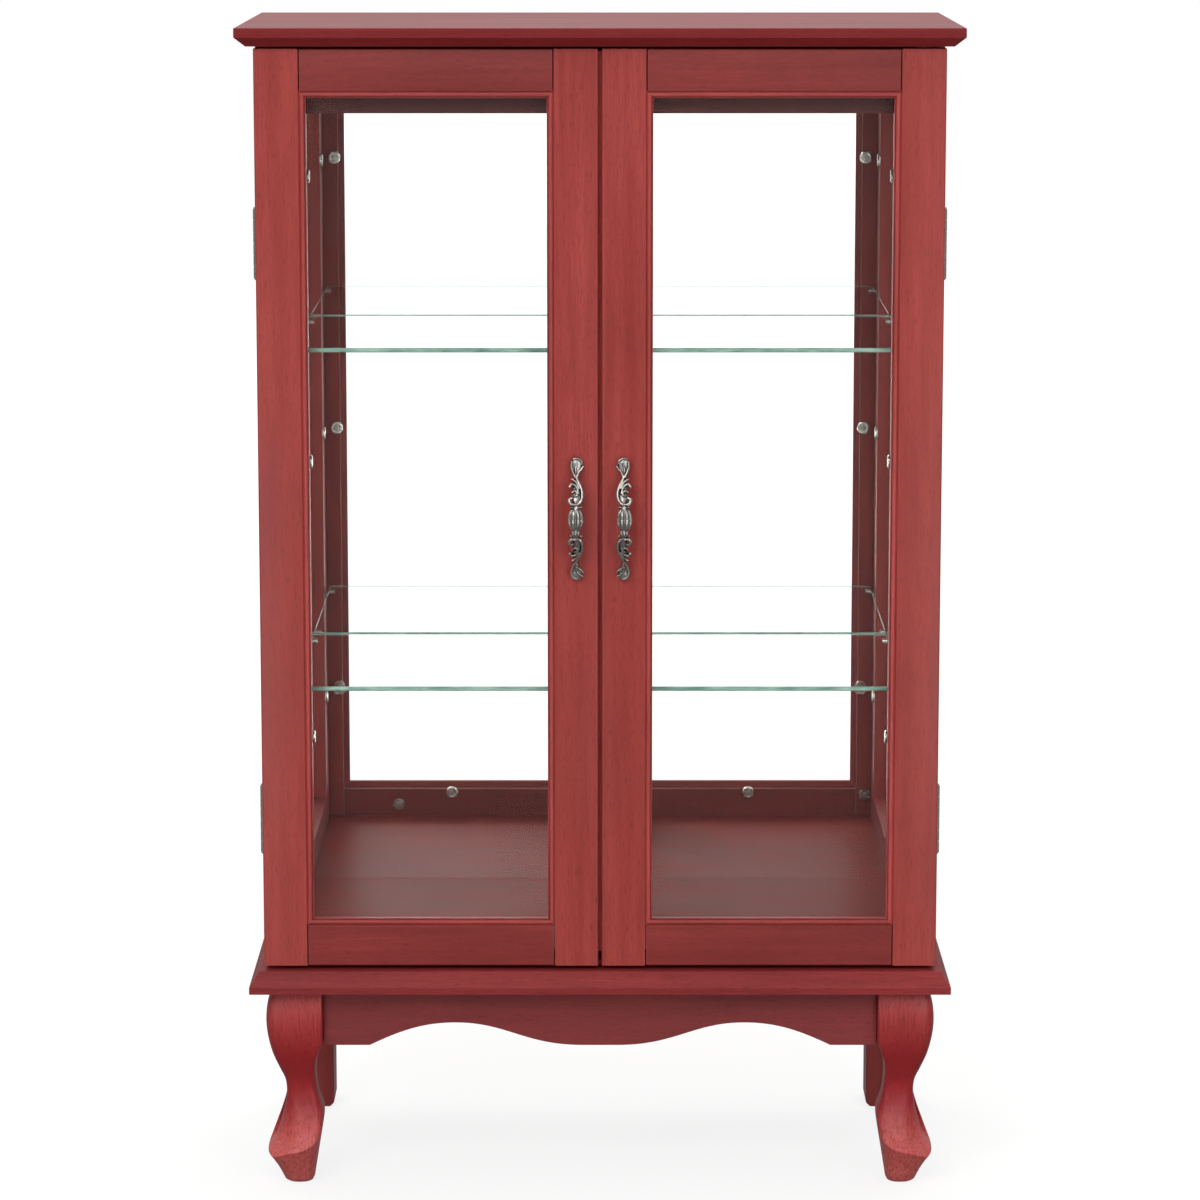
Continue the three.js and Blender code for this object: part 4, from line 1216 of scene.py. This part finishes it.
def build_meeting_strip():
    """A thin stained strip on the left door's meeting edge that closes the gap between the doors."""
    section = rounded_rect(-1.5, 1.46, DOOR_FRONT_Y + 6.0, DOOR_FRONT_Y + 17.0, 0.3, 3)
    shape = Shape().add(*prism(section, DOOR_BOTTOM_Z + 12.0, DOOR_TOP_Z - 2.0))
    # The strip takes the front legs' material, whose painted light by height stays at the knee's lit colour this
    # high up.
    dress(shape.piece("meeting_strip", [MAT["leg"]]), "left_door")


def set_material(node, material, ease=0.0):
    """Gives a kept CAD node its look."""
    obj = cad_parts[node]
    obj.data.materials.clear()
    obj.data.materials.append(material)
    if ease:
        eased(obj, ease, 2)


def build_nails():
    """Brads round the edge of the back panel."""
    shape = Shape()
    x_edge, z_low, z_high = 283.0, 210.0, 1023.0
    spots = []
    for i in range(9):
        z = z_low + (z_high - z_low) * i / 8
        spots += [(-x_edge, z), (x_edge, z)]
    for i in range(1, 7):
        x = -x_edge + 2 * x_edge * i / 7
        spots += [(x, z_low), (x, z_high)]
    for x, z in spots:
        head = turned(lathe([(0, 0), (1.9, 0), (1.9, 0.3), (1.3, 0.6), (0, 0.7)], 14), "X", -90)
        shape.add(*shifted(head, x, BACK_PANEL_Y, z))
    dress(shape.piece("back_panel_brads", [MAT["screw"]]), "carcass")


for word, side in SIDES.items():
    build_door(word, side)
    build_side(word, side)
build_boards()
build_aprons()
build_legs()
build_hinges()
build_pins()
build_clips()
build_handles()
build_shelves()
build_nails()
build_meeting_strip()
set_material("floor_panel", MAT["inside"], 0.8)
# The front top rail's dark colour is painted shade.
set_material("front_top_rail", MAT["lintel"], 0.8)
set_material("mirror_panel", MAT["mirror"])
set_material("back_panel", MAT["backing"], 0.5)
for word in SIDES:
    set_material(word + "_door_glass", MAT["glass"])
    set_material(word + "_side_glass", MAT["glass"])


# ---------------------------------------------------------------- stage, light and camera
def build_stage():
    """A floor with a soft shadow near the legs that fades to white further out, where its painted glow rises
    from 0.8 to full strength.

    The camera and the mirror see it white; it is dimmer to other rays, with a little glow for rough reflections.
    """
    n = Nodes("studio_floor")
    spot = n.coords()
    cloud = n.noise(spot, 2.0, 3.0, 0.5)
    far = n.add("VectorMath", {0: spot}, operation="LENGTH").outputs["Value"]
    # Painted light: the floor's glow grows from 0.8 within 0.7 m of the centre to 1.0 beyond 3.2 m.
    glow = n.scaled(far, 0.8, 1.0, 0.7, 3.2)
    tone = n.ramp(cloud, [(0.3, rgb(118, 117, 116)), (0.7, rgb(124, 123, 122))])
    lit = n.add("BsdfDiffuse", {"Color": tone})
    shine = n.add("Emission", {"Color": (1.0, 1.0, 1.0, 1.0), "Strength": glow})
    seen = n.add("AddShader", {0: lit.outputs[0], 1: shine.outputs[0]})
    dull = n.add("BsdfDiffuse", {"Color": rgb(124, 122, 120)})
    path = n.add("LightPath")
    plain = n.math("MAXIMUM", path.outputs["Is Camera Ray"], path.outputs["Is Singular Ray"])
    sheen = n.add("Emission", {"Color": (1.0, 0.99, 0.98, 1.0), "Strength": 0.34})
    unseen = n.add("MixShader", {0: path.outputs["Is Glossy Ray"], 1: dull.outputs[0],
        2: sheen.outputs[0]})
    both = n.add("MixShader", {0: plain, 1: unseen.outputs[0], 2: seen.outputs[0]})
    n.finish(both.outputs[0])
    size = 9000.0
    verts = [(-size, -size, 0), (size, -size, 0), (size, size, 0), (-size, size, 0)]
    floor = mesh_piece("floor_sheet", verts, [(0, 1, 2, 3)], [n.mat])


def area_light(name, at, target, size, power, colour=(1, 1, 1)):
    data = bpy.data.lights.new(name, "AREA")
    data.shape = "RECTANGLE"
    data.size, data.size_y = size
    data.energy = power
    data.color = colour
    obj = bpy.data.objects.new(name, data)
    bpy.context.collection.objects.link(obj)
    obj.location = at
    obj.rotation_euler = (Vector(target) - Vector(at)).to_track_quat("-Z", "Y").to_euler()
    return obj


def build_world():
    """White to the eye and in sharp reflections; a soft studio, darker in front, to everything else."""
    world = bpy.data.worlds.new("studio")
    bpy.context.scene.world = world
    world.use_nodes = True
    tree = world.node_tree
    tree.nodes.clear()

    def node(kind, **inputs):
        made = tree.nodes.new("ShaderNode" + kind)
        for key, value in inputs.items():
            socket = made.inputs[key.replace("_", " ")]
            if isinstance(value, bpy.types.NodeSocket):
                tree.links.new(value, socket)
            else:
                socket.default_value = value
        return made

    way = node("SeparateXYZ", Vector=tree.nodes.new("ShaderNodeTexCoord").outputs["Generated"])
    back = node("MapRange", Value=way.outputs["Y"], From_Min=-0.3, From_Max=0.8, To_Min=0.0,
        To_Max=WORLD_BACK)
    above = node("MapRange", Value=way.outputs["Z"], From_Min=0.0, From_Max=0.9, To_Min=WORLD_LOW,
        To_Max=WORLD_HIGH)
    total = node("Math")
    tree.links.new(back.outputs["Result"], total.inputs[0])
    tree.links.new(above.outputs["Result"], total.inputs[1])
    path = tree.nodes.new("ShaderNodeLightPath")
    plain = node("Math")
    plain.operation = "MAXIMUM"
    tree.links.new(path.outputs["Is Camera Ray"], plain.inputs[0])
    tree.links.new(path.outputs["Is Singular Ray"], plain.inputs[1])
    bright = node("MapRange", Value=path.outputs["Is Singular Ray"], To_Min=1.0, To_Max=WORLD_IN_MIRROR)
    level = tree.nodes.new("ShaderNodeMix")
    level.data_type = "FLOAT"
    tree.links.new(plain.outputs[0], level.inputs[0])
    tree.links.new(total.outputs[0], level.inputs[2])
    tree.links.new(bright.outputs["Result"], level.inputs[3])
    ground = node("Background", Color=(1.0, 1.0, 1.0, 1.0), Strength=level.outputs[0])
    out = tree.nodes.new("ShaderNodeOutputWorld")
    tree.links.new(ground.outputs[0], out.inputs["Surface"])


build_stage()
build_world()
area_light("key", (-1.3, -3.0, 2.6), (0, 0, 0.5), (2.4, 1.6), 72.0)
area_light("fill", (1.7, -3.2, 1.7), (0, 0, 0.5), (1.8, 1.8), 36.0)
area_light("low_left", (-0.85, -1.7, 0.15), (0, 0, 0.6), (0.3, 0.5), 6.5)
area_light("low_right", (0.85, -1.7, 0.15), (0, 0, 0.6), (0.3, 0.5), 6.5)
area_light("crown", (0.0, 1.6, 2.8), (0, 0.1, 0.6), (2.4, 1.4), 40.0)

camera_data = bpy.data.cameras.new("view")
camera = bpy.data.objects.new("view", camera_data)
bpy.context.collection.objects.link(camera)
camera_data.lens = CAMERA_LENS
camera_data.sensor_width = 36.0
camera_data.shift_y = CAMERA_SHIFT
camera.location = CAMERA_PLACE
camera.rotation_euler = (math.radians(90 - CAMERA_TILT), 0.0, 0.0)
bpy.context.scene.camera = camera
bpy.context.scene.view_settings.view_transform = "Standard"
bpy.context.scene.view_settings.look = "None"
